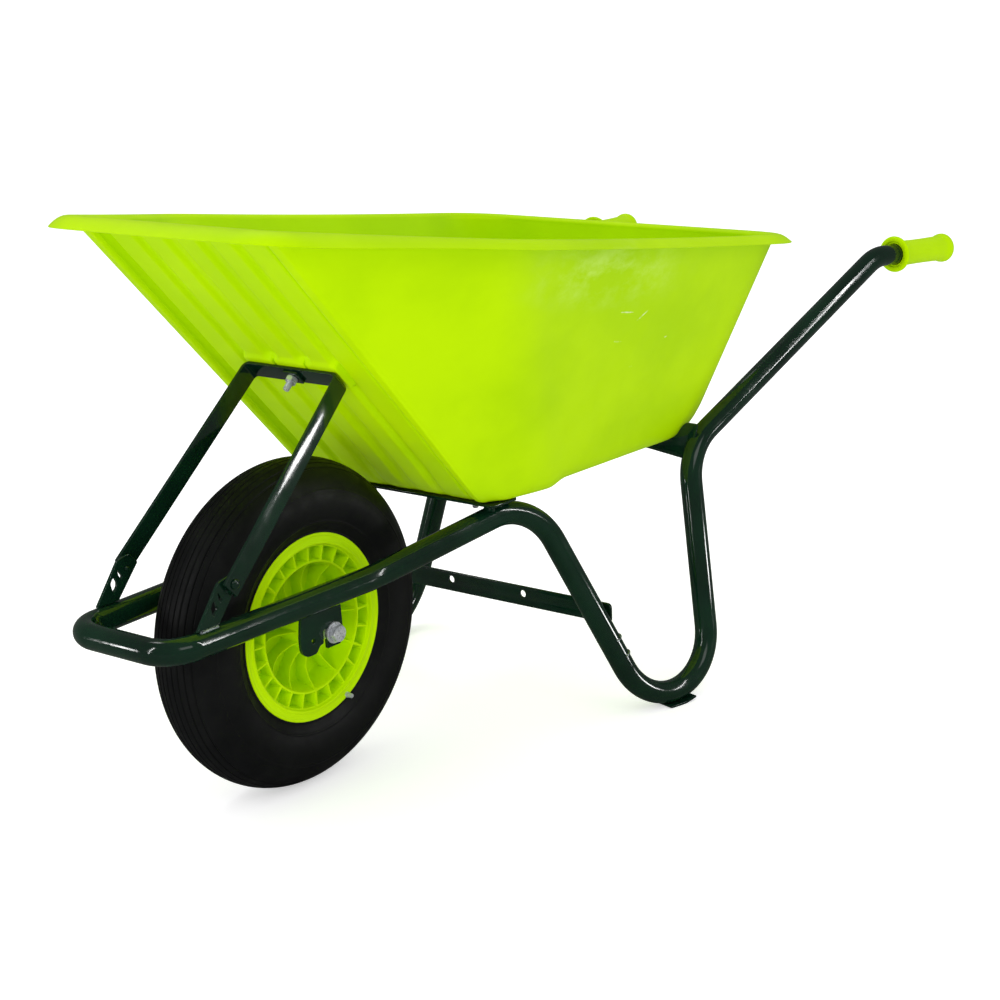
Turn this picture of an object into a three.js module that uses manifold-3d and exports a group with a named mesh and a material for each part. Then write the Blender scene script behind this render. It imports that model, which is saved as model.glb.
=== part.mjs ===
// A single-wheel barrow: a moulded tray on a bent-tube frame, with two legs, two grips and a pneumatic wheel.
// Millimetres. +X runs from the nose to the handles, +Y to the operator's right, +Z up.
// Parts are placed with the axle above x = 0, and the whole is then centred on its length.
import * as THREE from "three";
import { mergeVertices } from "three/addons/utils/BufferGeometryUtils.js";
import Module from "manifold-3d";

const wasm = await Module();
wasm.setup();

// ---- Driving dimensions ----
const TUBE_R = 15; // frame tube, 30 mm outside
const TUBE_WALL = 2;
const GAP = 0.3; // between pieces that touch

const WHEEL_R = 200;
const TYRE_HALF_WIDTH = 48;
const RIM_R = 115;
const BEAD_SEAT_R = 101;
const AXLE_Z = WHEEL_R;

// Corners of the frame tube's centre line on one side, before bending: x, distance from the middle, z.
const NOSE = [-261, 77, 250];
const KNEE = [57, 87, 256];
const CREST = [302, 136, 302];
const GROUND = [487, 314, -216.3];
const SHOULDER = [571, 200, 317];
const WRIST = [983, 263.5, 526];
const TIP = [1158.5, 290.6, 519.6];
const NOSE_BEND = 36;
const KNEE_BEND = 150;
const CREST_BEND = 80;
const GROUND_BEND = 79;
const SHOULDER_BEND = 85;
const WRIST_BEND = 75;

const GRIP_LENGTH = 133;
const GRIP_R = 18;
const GRIP_END_WALL = 5;

// Outlines of the tray on one side: x and half width at the front, side and rear corners, and the
// reach of each corner's rounding. The bulge is how far the front edge bows out at its middle.
const FLOOR = { front: [200, 140], side: [300, 165], rear: [659, 182], reaches: [6, 30, 90], bulge: 0 };
const MOUTH = { front: [-149, 153], side: [116, 267], rear: [717, 274], reaches: [14, 40, 76], bulge: 0 };
const LIP = { front: [-173, 188], side: [116, 290], rear: [742, 297], reaches: [60, 41, 100], bulge: 13 };
const RIM_FRONT_Z = 697;
const RIM_SLOPE = -0.116;
const RIM_SAG = 5;
const FLOOR_FRONT_Z = 320.5;
const FLOOR_SLOPE = 0.0155;
const PAD_DROP = 7; // the floor's front part is pressed down onto the front cross bar
const LIP_DROP = 11;
const MOUTH_DROP = 7; // from the top of the rim down to the top of the wall
const FLOOR_MIDDLE_X = 430;
const TRAY_WALL = 5.5; // measured level, so 4 to 5 mm through the sloping walls
const FLOOR_WALL = 4.5;
const GROOVE_PITCH = 50; // from a ridge on the middle line
const GROOVES_PER_SIDE = 3;
const GROOVE_DEPTH = 13.5; // from the corner folds in to the bottom of a groove
const RIDGE_DEPTH = 8; // from the corner folds in to a ridge between two grooves
const SEAT_DEPTH = 5; // the ridges step out to this depth behind the brace's crossbar
const SEAT_HALF = 66;
const SEAT_Z = [481, 507];

// ---- Materials ----
const LIME = new THREE.MeshStandardMaterial({ color: 0xb8e800, roughness: 0.42, metalness: 0 });
const DARK_GREEN = new THREE.MeshStandardMaterial({ color: 0x0a2e1e, roughness: 0.2, metalness: 0.1 });
const BLACK_RUBBER = new THREE.MeshStandardMaterial({ color: 0x2b2d2e, roughness: 0.8, metalness: 0 });
const ZINC = new THREE.MeshStandardMaterial({ color: 0xb9bdc2, roughness: 0.35, metalness: 1 });
const NYLON = new THREE.MeshStandardMaterial({ color: 0x1c1c1c, roughness: 0.6, metalness: 0 });

const barrow = new THREE.Group();

function add(name, geometry, material) {
  const mesh = new THREE.Mesh(geometry, material);
  mesh.name = name;
  barrow.add(mesh);
  return mesh;
}

// ---- Solids: joining and cutting ----
function toSolid(geometry) {
  const bare = geometry.clone();
  bare.deleteAttribute("normal");
  bare.deleteAttribute("uv");
  const merged = mergeVertices(bare, 1e-3);
  const triVerts = new Uint32Array(merged.index.array);
  const vertProperties = merged.attributes.position.array;
  return new wasm.Manifold(new wasm.Mesh({ numProp: 3, vertProperties, triVerts }));
}

function toGeometry(solid) {
  const mesh = solid.getMesh();
  const geometry = new THREE.BufferGeometry();
  geometry.setAttribute("position", new THREE.BufferAttribute(mesh.vertProperties, 3));
  geometry.setIndex(new THREE.BufferAttribute(mesh.triVerts, 1));
  geometry.computeVertexNormals();
  return geometry;
}

function cut(geometry, cutters) {
  const solid = cutters.reduce((rest, cutter) => rest.subtract(toSolid(cutter)), toSolid(geometry));
  return toGeometry(solid);
}

function join(geometries) {
  const solid = geometries.map(toSolid).reduce((all, one) => all.add(one));
  return toGeometry(solid);
}

// ---- Shapes ----
function circlePoints(radius, sides) {
  const angles = Array.from({ length: sides }, (_, i) => (i / sides) * 2 * Math.PI);
  return angles.map((a) => new THREE.Vector2(radius * Math.cos(a), radius * Math.sin(a)));
}

function ringShape(outer, inner, sides) {
  const shape = new THREE.Shape(circlePoints(outer, sides));
  shape.holes.push(new THREE.Path(circlePoints(inner, sides)));
  return shape;
}

function rectangleShape(width, height) {
  const w = width / 2;
  const h = height / 2;
  return new THREE.Shape([[-w, -h], [w, -h], [w, h], [-w, h]].map(([x, y]) => new THREE.Vector2(x, y)));
}

// A cylinder along Y between two stations.
function barY(radius, y0, y1, sides) {
  return new THREE.CylinderGeometry(radius, radius, y1 - y0, sides).translate(0, (y0 + y1) / 2, 0);
}

// A tube along Y between two stations.
function sleeveY(outer, inner, y0, y1, sides) {
  return new THREE.ExtrudeGeometry(ringShape(outer, inner, sides), { depth: y1 - y0, bevelEnabled: false })
    .rotateX(-Math.PI / 2)
    .translate(0, y0, 0);
}

// A hexagon prism along Y; acrossFlats is the spanner size.
function hexY(acrossFlats, y0, y1) {
  return barY(acrossFlats / Math.sqrt(3), y0, y1, 6);
}

// A plate cut from an outline in X and Z, between two stations on Y.
function plateXZ(shape, y0, y1, curveSegments = 6) {
  return new THREE.ExtrudeGeometry(shape, { depth: y1 - y0, bevelEnabled: false, curveSegments })
    .rotateX(Math.PI / 2)
    .translate(0, y1, 0);
}

// Turns a piece made along Y so that it runs along a direction, starting at a point.
function aim(mesh, from, direction) {
  mesh.position.copy(from);
  mesh.quaternion.setFromUnitVectors(new THREE.Vector3(0, 1, 0), direction);
  return mesh;
}

// ---- Bent tubes ----
// A route of straight runs and bends, held as stations: one at each end of a run, several round a bend.
class Route extends THREE.Curve {
  constructor(stations) {
    super();
    this.stations = stations;
  }
  at(t, key) {
    const place = t * (this.stations.length - 1);
    const i = Math.min(Math.floor(place + 1e-9), this.stations.length - 2);
    return this.stations[i][key].clone().lerp(this.stations[i + 1][key], place - i);
  }
  getPoint(t) {
    return this.at(t, "point");
  }
  getPointAt(t) {
    return this.at(t, "point");
  }
  getTangentAt(t) {
    return this.at(t, "tangent").normalize();
  }
}

const STEP_ANGLE = THREE.MathUtils.degToRad(20);

// The stations of one bend, an arc that touches both runs.
function bendStations(before, corner, after, radius) {
  const into = corner.clone().sub(before).normalize();
  const out = after.clone().sub(corner).normalize();
  const turn = into.angleTo(out);
  const reach = radius * Math.tan(turn / 2);
  const start = corner.clone().addScaledVector(into, -reach);
  const toCentre = out.clone().addScaledVector(into, -into.dot(out)).normalize();
  const centre = start.clone().addScaledVector(toCentre, radius);
  const steps = Math.max(2, Math.ceil(turn / STEP_ANGLE));
  return Array.from({ length: steps + 1 }, (_, i) => {
    const a = (turn * i) / steps;
    const tangent = into.clone().multiplyScalar(Math.cos(a)).addScaledVector(toCentre, Math.sin(a));
    const point = centre.clone().addScaledVector(into, radius * Math.sin(a));
    point.addScaledVector(toCentre, -radius * Math.cos(a));
    return { point, tangent };
  });
}

// A route through corners; bends holds the radius at each corner between the two ends.
function routeThrough(corners, bends) {
  const last = corners.length - 1;
  const first = { point: corners[0], tangent: corners[1].clone().sub(corners[0]).normalize() };
  const final = { point: corners[last], tangent: corners[last].clone().sub(corners[last - 1]).normalize() };
  const middle = bends.flatMap((radius, i) => {
    return bendStations(corners[i], corners[i + 1], corners[i + 2], radius);
  });
  return new Route([first, ...middle, final]);
}

function sweep(shape, route) {
  return new THREE.ExtrudeGeometry(shape, {
    extrudePath: route,
    steps: route.stations.length - 1,
    bevelEnabled: false,
  });
}

const TUBE_SECTION = ringShape(TUBE_R, TUBE_R - TUBE_WALL, 12);

function onSide(corner, side) {
  return new THREE.Vector3(corner[0], side * corner[1], corner[2]);
}

function between(a, b, fraction) {
  return a.clone().lerp(b, fraction);
}

const SIDES = [["left", -1], ["right", 1]];

// Where the tube is divided: behind the nose corner, before the crest bend, and below the shoulder bend.
const NOSE_SPLIT = 0.28;
const CREST_SPLIT = 0.66;
const SHOULDER_SPLIT = 0.12;

function splitsOn(side) {
  const nose = between(onSide(NOSE, side), onSide(KNEE, side), NOSE_SPLIT);
  const crest = between(onSide(KNEE, side), onSide(CREST, side), CREST_SPLIT);
  const shoulder = between(onSide(SHOULDER, side), onSide(GROUND, side), SHOULDER_SPLIT);
  return { nose, crest, shoulder };
}

// A point moved a little along the way to another, which leaves the gap between two lengths of tube.
function stepTowards(from, to) {
  return from.clone().add(to.clone().sub(from).setLength(GAP));
}

function noseTube() {
  const left = splitsOn(-1).nose;
  const right = splitsOn(1).nose;
  const corners = [left, onSide(NOSE, -1), onSide(NOSE, 1), right];
  return sweep(TUBE_SECTION, routeThrough(corners, [NOSE_BEND, NOSE_BEND]));
}

function sideRail(side) {
  const { nose, crest } = splitsOn(side);
  const knee = onSide(KNEE, side);
  const corners = [stepTowards(nose, knee), knee, stepTowards(crest, knee)];
  return sweep(TUBE_SECTION, routeThrough(corners, [KNEE_BEND]));
}

function legRoute(side) {
  const { crest, shoulder } = splitsOn(side);
  const corners = [crest, onSide(CREST, side), onSide(GROUND, side), shoulder];
  return routeThrough(corners, [CREST_BEND, GROUND_BEND]);
}

function railAndLegRoute(side) {
  const corners = [onSide(KNEE, side), onSide(CREST, side), onSide(GROUND, side), splitsOn(side).shoulder];
  return routeThrough(corners, [CREST_BEND, GROUND_BEND]);
}

function handleRoute(side) {
  const { shoulder } = splitsOn(side);
  const bend = onSide(SHOULDER, side);
  const wrist = onSide(WRIST, side);
  const tip = onSide(TIP, side);
  const end = tip.clone().sub(tip.clone().sub(wrist).setLength(GRIP_END_WALL + GAP));
  const corners = [stepTowards(shoulder, bend), bend, wrist, end];
  return routeThrough(corners, [SHOULDER_BEND, WRIST_BEND]);
}

// ---- Grips ----
function gripGeometry() {
  const bore = TUBE_R + GAP;
  const length = GRIP_LENGTH;
  const flangeR = 26.5;
  const endR = 21.5;
  const profile = [
    [bore, 0],
    [flangeR - 2, 0],
    [flangeR, 2],
    [flangeR, 5],
    [flangeR - 2, 7],
    [GRIP_R + 1.5, 8],
    [GRIP_R, 12],
    [GRIP_R - 0.5, length / 2],
    [GRIP_R, length - 16],
    [endR - 1, length - 10],
    [endR, length - 7],
    [endR, length - 3],
    [endR - 3, length],
    [0, length],
    [0, length - GRIP_END_WALL],
    [bore, length - GRIP_END_WALL],
    [bore, 0],
  ].map(([r, y]) => new THREE.Vector2(r, y));
  return new THREE.LatheGeometry(profile, 16);
}

function addGrip(label, side) {
  const wrist = onSide(WRIST, side);
  const tip = onSide(TIP, side);
  const direction = tip.clone().sub(wrist).normalize();
  const start = tip.clone().addScaledVector(direction, -GRIP_LENGTH);
  aim(add("grip_" + label, gripGeometry(), LIME), start, direction);
}

// ---- Foot skids: a bent strip under each leg's ground bend ----
const SKID_THICK = 3;
const SKID_WIDTH = 30;

// The lowest point of a leg's centre line and the level direction along the tube there.
function lowPoint(side) {
  const ground = onSide(GROUND, side);
  const toCrest = onSide(CREST, side).sub(ground).normalize();
  const toShoulder = onSide(SHOULDER, side).sub(ground).normalize();
  const up = toCrest.clone().add(toShoulder).normalize();
  const half = toCrest.angleTo(toShoulder) / 2;
  const across = new THREE.Vector3().crossVectors(toCrest, toShoulder).normalize();
  const down = new THREE.Vector3(0, 0, -1);
  down.addScaledVector(across, -down.dot(across)).normalize();
  const point = ground.addScaledVector(up, GROUND_BEND / Math.sin(half)).addScaledVector(down, GROUND_BEND);
  const along = new THREE.Vector3(0, 0, 1).cross(across).normalize();
  return { point, angle: Math.atan(along.y / along.x) };
}

const SKID_FLAT = [-7, 13]; // along the tube, from its low point
const SKID_REAR = [31, 4.6];
const SKID_FRONT = [-15, 0.3];

function footSkid(side) {
  const { point, angle } = lowPoint(side);
  const [front, rear] = SKID_FLAT;
  const foot = new THREE.Shape();
  foot.moveTo(...SKID_FRONT);
  foot.lineTo(front, 0);
  foot.lineTo(rear, 0);
  foot.lineTo(...SKID_REAR);
  foot.lineTo(SKID_REAR[0] - 1, SKID_REAR[1] + SKID_THICK);
  foot.lineTo(rear - 1, SKID_THICK);
  foot.lineTo(SKID_FRONT[0], SKID_THICK);
  const strip = plateXZ(foot, -SKID_WIDTH / 2, SKID_WIDTH / 2);
  return strip.rotateZ(angle).translate(point.x, point.y, 0);
}

// A route whose section keeps its first axis near a given direction, so that a flat strip doesn't roll.
function alignedRoute(stations, first) {
  const route = new Route(stations);
  route.computeFrenetFrames = () => {
    const tangents = stations.map((s) => s.tangent.clone());
    const normals = tangents.map((t) => first.clone().addScaledVector(t, -first.dot(t)).normalize());
    const binormals = tangents.map((t, i) => new THREE.Vector3().crossVectors(t, normals[i]));
    return { tangents, normals, binormals };
  };
  return route;
}

// ---- Nose brace: a flat bar bent into a U, from tabs on the nose up to the tray's front wall ----
const BRACE_WIDTH = 25;
const BRACE_THICK = 4;
const BRACE_TOP = [33, 72.5, 495.2];
const BRACE_FOOT = [-176.8, 86, 302.1];
const BRACE_CORNER = 8;

function braceDirection() {
  return new THREE.Vector3(BRACE_TOP[0] - BRACE_FOOT[0], 0, BRACE_TOP[2] - BRACE_FOOT[2]).normalize();
}

function noseBrace() {
  const corners = [
    onSide(BRACE_FOOT, -1),
    onSide(BRACE_TOP, -1),
    onSide(BRACE_TOP, 1),
    onSide(BRACE_FOOT, 1),
  ];
  const flat = new THREE.Vector3().crossVectors(braceDirection(), new THREE.Vector3(0, 1, 0)).normalize();
  const { stations } = routeThrough(corners, [BRACE_CORNER, BRACE_CORNER]);
  const bar = sweep(rectangleShape(BRACE_WIDTH, BRACE_THICK), alignedRoute(stations, flat));
  const hole = barY(BOLT_HOLE_R, -BRACE_THICK, BRACE_THICK, 8);
  return cut(bar, [turned(hole, crossbarMiddle(), braceDirection())]);
}

// A geometry made along Y, turned along a direction and moved to a point.
function turned(geometry, to, direction) {
  const turn = new THREE.Quaternion().setFromUnitVectors(new THREE.Vector3(0, 1, 0), direction);
  return geometry.clone().applyQuaternion(turn).translate(to.x, to.y, to.z);
}

// ---- Brace tabs: upright plates welded on the nose, each with two keyhole cut-outs ----
const TAB_THICK = 4;
const TAB_OUTLINE = [[-224, 266.4], [-192, 267.1], [-160, 304.5], [-172, 317.5], [-189, 313.5]];
const TAB_HOLES = [{ at: [-197, 286.5], radius: 4.2 }, { at: [-187, 297], radius: 3.2 }];

function braceTab(side) {
  const outline = new THREE.Shape(TAB_OUTLINE.map(([x, z]) => new THREE.Vector2(x, z)));
  for (const { at, radius } of TAB_HOLES) {
    const middle = new THREE.Vector2(...at);
    outline.holes.push(new THREE.Path(circlePoints(radius, 8).map((q) => q.add(middle))));
  }
  const inner = BRACE_FOOT[1] - BRACE_THICK / 2 - GAP - TAB_THICK - 2;
  const y0 = side < 0 ? -inner - TAB_THICK : inner;
  return plateXZ(outline, y0, y0 + TAB_THICK);
}

// ---- Fasteners ----
// A bolt along -Y with a domed head, from the underside of its head at the origin.
function domeBolt(radius, length, headR, headHeight) {
  const profile = [
    [0, -length],
    [radius, -length],
    [radius, 0],
    [headR, 0],
    [headR * 0.8, headHeight * 0.75],
    [0, headHeight],
  ].map(([r, y]) => new THREE.Vector2(r, y));
  return new THREE.LatheGeometry(profile, 10);
}

function hexNut(radius, acrossFlats, height) {
  return cut(hexY(acrossFlats, 0, height), [barY(radius + GAP, -1, height + 1, 10)]);
}

const UP = new THREE.Vector3(0, 0, 1);
const CLIP = { width: 20, thick: 3, height: 15 };
const TRAY_INSIDE = 8.6; // from the middle of the crossbar to the tray's inner face behind it

function m8Bolt(length) {
  return domeBolt(BOLT_R, length, BOLT_HEAD_R, BOLT_HEAD_HEIGHT);
}

function m8Nut() {
  return hexNut(BOLT_R, BOLT_SPANNER, BOLT_NUT_HEIGHT);
}

function crossbarMiddle() {
  return new THREE.Vector3(BRACE_TOP[0], 0, BRACE_TOP[2]);
}

function addBraceBolt() {
  const into = braceDirection();
  const along = (distance) => crossbarMiddle().addScaledVector(into, distance);
  const clipHole = barY(BOLT_R + GAP, -CLIP.thick, CLIP.thick, 8);
  const clip = cut(new THREE.BoxGeometry(CLIP.width, CLIP.thick, CLIP.height), [clipHole]);
  const clipBack = -BRACE_THICK / 2 - GAP - CLIP.thick;
  aim(add("brace_bolt", m8Bolt(BRACE_BOLT_LENGTH), ZINC), along(TRAY_INSIDE), into);
  aim(add("brace_clip", clip, DARK_GREEN), along(clipBack + CLIP.thick / 2), into);
  aim(add("brace_nut", m8Nut(), ZINC), along(clipBack - GAP - BOLT_NUT_HEIGHT), into);
}

const TAB_SCREW = { radius: 2.5, length: 1.8, headR: 6, headHeight: 3.5, along: 9 };

function addTabScrew(label, side) {
  const { radius, length, headR, headHeight, along } = TAB_SCREW;
  const outward = new THREE.Vector3(0, side, 0);
  const place = onSide(BRACE_FOOT, side).addScaledVector(braceDirection(), along);
  place.addScaledVector(outward, BRACE_THICK / 2 + GAP + length);
  aim(add("tab_screw_" + label, domeBolt(radius, length, headR, headHeight), DARK_GREEN), place, outward);
}

// ---- Axle plates: hung from the side rails, with a slot that opens downwards for the axle ----
const PLATE_THICK = 5;
const PLATE_INNER_Y = 64.5;
const AXLE_R = 6;

function axlePlate(side) {
  const shape = new THREE.Shape();
  const slotHalf = AXLE_R + GAP;
  shape.moveTo(-52, 32);
  shape.lineTo(-55, 6);
  shape.quadraticCurveTo(-54, -12, -46, -18);
  shape.lineTo(-29, -18);
  shape.lineTo(-24, -10);
  shape.lineTo(-17, -9);
  shape.lineTo(-17, slotHalf);
  shape.lineTo(0, slotHalf);
  shape.absarc(0, 0, slotHalf, Math.PI / 2, -Math.PI / 2, true);
  shape.lineTo(-11, -slotHalf);
  shape.lineTo(-10, -17);
  shape.lineTo(11, -17);
  shape.lineTo(17, -6);
  shape.lineTo(17, 34);
  const hole = circlePoints(3, 8).map((q) => q.add(new THREE.Vector2(-34, -1)));
  shape.holes.push(new THREE.Path(hole));
  const y0 = side < 0 ? -PLATE_INNER_Y - PLATE_THICK : PLATE_INNER_Y;
  return plateXZ(shape, y0, y0 + PLATE_THICK, 4).translate(0, 0, AXLE_Z);
}

// ---- Axle, its sleeve, washers and nut ----
const SLEEVE_R = 10;
const AXLE_HEAD = 7.5;
const WASHER_THICK = 2.5;

function addAxle() {
  const outer = PLATE_INNER_Y + PLATE_THICK;
  const headY = outer + WASHER_THICK + 2 * GAP;
  const bolt = join([barY(AXLE_R, -headY - 1, headY + 14, 16), hexY(19, -headY - AXLE_HEAD, -headY)]);
  const nut = cut(hexY(19, headY, headY + 10), [barY(AXLE_R + GAP, headY - 1, headY + 11, 16)]);
  const sleeve = sleeveY(SLEEVE_R, AXLE_R + GAP, -PLATE_INNER_Y + GAP, PLATE_INNER_Y - GAP, 32);
  const pieces = [["axle_bolt", bolt], ["axle_nut", nut], ["axle_sleeve", sleeve]];
  for (const [label, side] of SIDES) {
    const from = side < 0 ? -outer - GAP - WASHER_THICK : outer + GAP;
    pieces.push(["axle_washer_" + label, sleeveY(13, AXLE_R + GAP, from, from + WASHER_THICK, 16)]);
  }
  for (const [name, geometry] of pieces) add(name, geometry.translate(0, 0, AXLE_Z), ZINC);
}

// ---- Wheel ----
const LATHE_STEPS = 48;
const HUB_R = 24;
const HUB_HALF = 45;
const BUSH_R = 15;
const POCKETS = 24;
const POCKET_INNER = 81.5;
const POCKET_OUTER = 97;
const POCKET_FLOOR = 22;
const FACE_Y = 38;
const DISH_RIBS = 12;

function revolve(points, steps) {
  const profile = points.map(([r, y]) => new THREE.Vector2(r, y));
  return new THREE.LatheGeometry(profile, steps);
}

function mirrored(half) {
  return [...half, ...half.map(([r, y]) => [r, -y]).reverse()];
}

function rimBody() {
  const half = [
    [BUSH_R + GAP, HUB_HALF],
    [HUB_R, HUB_HALF],
    [HUB_R + 2, 8],
    [66, 6],
    [77, FACE_Y],
    [99, FACE_Y],
    [100.5, 41.5],
    [RIM_R - 1.5, 42],
    [RIM_R, 39.5],
    [BEAD_SEAT_R + 1, 37.4],
    [99, 19],
  ];
  const loop = mirrored(half);
  return revolve([...loop, half[0]].reverse(), LATHE_STEPS);
}

function pocketCutters() {
  const pitch = (2 * Math.PI) / POCKETS;
  const halfAngle = pitch * 0.39;
  const shape = new THREE.Shape();
  const corner = (r, a) => new THREE.Vector2(r * Math.cos(a), r * Math.sin(a));
  shape.setFromPoints([
    corner(POCKET_INNER, -halfAngle),
    corner(POCKET_OUTER, -halfAngle),
    corner(POCKET_OUTER, halfAngle),
    corner(POCKET_INNER, halfAngle),
  ]);
  const depth = FACE_Y - POCKET_FLOOR + 1;
  const cell = new THREE.ExtrudeGeometry(shape, { depth, bevelEnabled: false }).rotateX(-Math.PI / 2);
  return Array.from({ length: POCKETS }, (_, i) => [
    cell.clone().rotateY(pitch * i).translate(0, POCKET_FLOOR, 0),
    cell.clone().rotateY(pitch * i).translate(0, -FACE_Y - 1, 0),
  ]).flat();
}

// Thin curved ribs that stand in the dish, from the hub out to the pocket ring.
function dishRibs() {
  const inner = HUB_R - 2;
  const outer = 79;
  const sweepAngle = 0.75;
  const thick = 2.4;
  const steps = 2;
  const height = 17;
  const foot = 4; // sunk into the dish's web
  const line = Array.from({ length: steps + 1 }, (_, i) => {
    const k = i / steps;
    const r = inner + (outer - inner) * k;
    const a = sweepAngle * k * k;
    return [r, a];
  });
  const edge = (side) => line.map(([r, a]) => {
    const turn = a + (side * thick) / (2 * r);
    return new THREE.Vector2(r * Math.cos(turn), r * Math.sin(turn));
  });
  const shape = new THREE.Shape([...edge(-1), ...edge(1).reverse()]);
  const rib = new THREE.ExtrudeGeometry(shape, { depth: height, bevelEnabled: false }).rotateX(-Math.PI / 2);
  return Array.from({ length: DISH_RIBS }, (_, i) => {
    const turn = (i / DISH_RIBS) * 2 * Math.PI;
    const near = rib.clone().rotateY(turn).translate(0, foot, 0);
    const far = rib.clone().rotateX(Math.PI).rotateY(turn).translate(0, -foot, 0);
    return [near, far];
  }).flat();
}

function rimGeometry() {
  return join([cut(rimBody(), pocketCutters()), ...dishRibs()]);
}

// The tread's facets touch the wheel's radius at their middles, so that one lies flat on the ground.
const TREAD_R = WHEEL_R / Math.cos(Math.PI / LATHE_STEPS);

// A C-shaped carcass: tread, rounded walls and two beads, open towards the rim.
function tyreGeometry() {
  const outside = [
    [BEAD_SEAT_R + 1.6, 36.5],
    [RIM_R + 3, 38],
    [134, 46],
    [158, TYRE_HALF_WIDTH],
    [182, 38],
    [196, 20],
    [TREAD_R, 0],
  ];
  const inside = [
    [189, 0],
    [178, 31],
    [150, 42],
    [108, 31],
    [BEAD_SEAT_R + 1.6, 27],
  ];
  const far = ([r, y]) => [r, -y];
  const outerLoop = [...outside, ...outside.slice(0, -1).reverse().map(far)];
  const innerLoop = [...inside.slice(1).reverse().map(far), ...inside];
  const loop = [...outerLoop, ...innerLoop];
  return revolve([...loop, loop[0]].reverse(), LATHE_STEPS).rotateY(Math.PI / LATHE_STEPS);
}

const TUBE_CENTRE_R = 147;
const INNER_TUBE_R = 36;

function innerTube() {
  const ring = (radius) => {
    const loop = circlePoints(radius, 6).map((q) => [TUBE_CENTRE_R + q.x, q.y]);
    return revolve([...loop, loop[0]], 24);
  };
  const valveHole = new THREE.CylinderGeometry(4.5, 4.5, 30, 8).rotateZ(Math.PI / 2);
  valveHole.translate(TUBE_CENTRE_R - INNER_TUBE_R, 0, 0);
  const hollow = toSolid(ring(INNER_TUBE_R)).subtract(toSolid(ring(INNER_TUBE_R - 3)));
  return toGeometry(hollow.subtract(toSolid(valveHole)));
}

function addWheel() {
  add("tyre", tyreGeometry(), BLACK_RUBBER);
  add("rim", rimGeometry(), LIME);
  add("inner_tube", innerTube(), BLACK_RUBBER);
  for (const [label, side] of SIDES) {
    const from = side < 0 ? -HUB_HALF - 4 : HUB_HALF - 26;
    const bush = sleeveY(BUSH_R, SLEEVE_R + 0.1, from, from + 30, 32);
    add("hub_bush_" + label, bush, NYLON);
  }
  for (const name of ["tyre", "rim", "inner_tube", "hub_bush_left", "hub_bush_right"]) {
    barrow.getObjectByName(name).position.z = AXLE_Z;
  }
}

// ---- Tray ----
// One corner of an outline, rounded with a curve of the given reach along both edges.
function roundedCorner(before, corner, after, reach, steps) {
  const a = corner.clone().add(before.clone().sub(corner).setLength(reach));
  const b = corner.clone().add(after.clone().sub(corner).setLength(reach));
  return new THREE.QuadraticBezierCurve(a, corner, b).getPoints(steps);
}

// One groove from side to side: distance from its middle and depth.
const GROOVE_SECTION = [[-12, RIDGE_DEPTH], [-6, GROOVE_DEPTH], [6, GROOVE_DEPTH], [12, RIDGE_DEPTH]];

// Half of the tray's front edge, from the middle outwards: distance from the middle and depth.
function frontEdge() {
  const points = [];
  for (let i = 0; i < GROOVES_PER_SIDE; i++) {
    const middle = (i + 0.5) * GROOVE_PITCH * (1 - 0.01 * i);
    const narrowing = 1 - 0.25 * i;
    for (const [offset, depth] of GROOVE_SECTION) points.push({ y: middle + offset * narrowing, depth });
  }
  return points;
}

// The outline of the tray at one level, set in by a distance: a ring of x, y and groove depth.
function outline({ front, side, rear, reaches, bulge }, inset) {
  const corners = [front, side, rear].map(([x, y]) => new THREE.Vector2(x, y - inset));
  corners[0].x += inset * 1.25;
  corners[2].x -= inset;
  const [first, middle, last] = corners;
  const frontMiddle = new THREE.Vector2(first.x, 0);
  const rearMiddle = new THREE.Vector2(last.x, 0);
  const grooves = frontEdge().map(({ y, depth }) => {
    return { x: first.x - bulge * (1 - (y / first.y) ** 2), y, depth };
  });
  const plain = [
    ...roundedCorner(frontMiddle, first, middle, reaches[0], 3),
    ...roundedCorner(first, middle, last, reaches[1], 3),
    ...roundedCorner(middle, last, rearMiddle, reaches[2], 4),
  ].map((q) => ({ x: q.x, y: q.y, depth: 0 }));
  const half = [...grooves, ...plain];
  return [...half, ...half.map((q) => ({ ...q, y: -q.y })).reverse()];
}

function rimZ(x) {
  const k = (x - LIP.front[0]) / (LIP.rear[0] - LIP.front[0]);
  return RIM_FRONT_Z + RIM_SLOPE * (x - LIP.front[0]) - RIM_SAG * 4 * k * (1 - k);
}

function floorZ(x) {
  const pad = 1 - THREE.MathUtils.smoothstep(x, 305, 340);
  return FLOOR_FRONT_Z + FLOOR_SLOPE * (x - FLOOR.front[0]) - PAD_DROP * pad;
}

// How far the rounding between floor and wall reaches: long at both ends, short along the sides.
function floorReach(x) {
  const front = 1 - THREE.MathUtils.smoothstep(x, FLOOR.front[0], FLOOR.front[0] + 40);
  const rear = THREE.MathUtils.smoothstep(x, 560, FLOOR.rear[0]);
  return 24 + 26 * front + 40 * rear;
}

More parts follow.
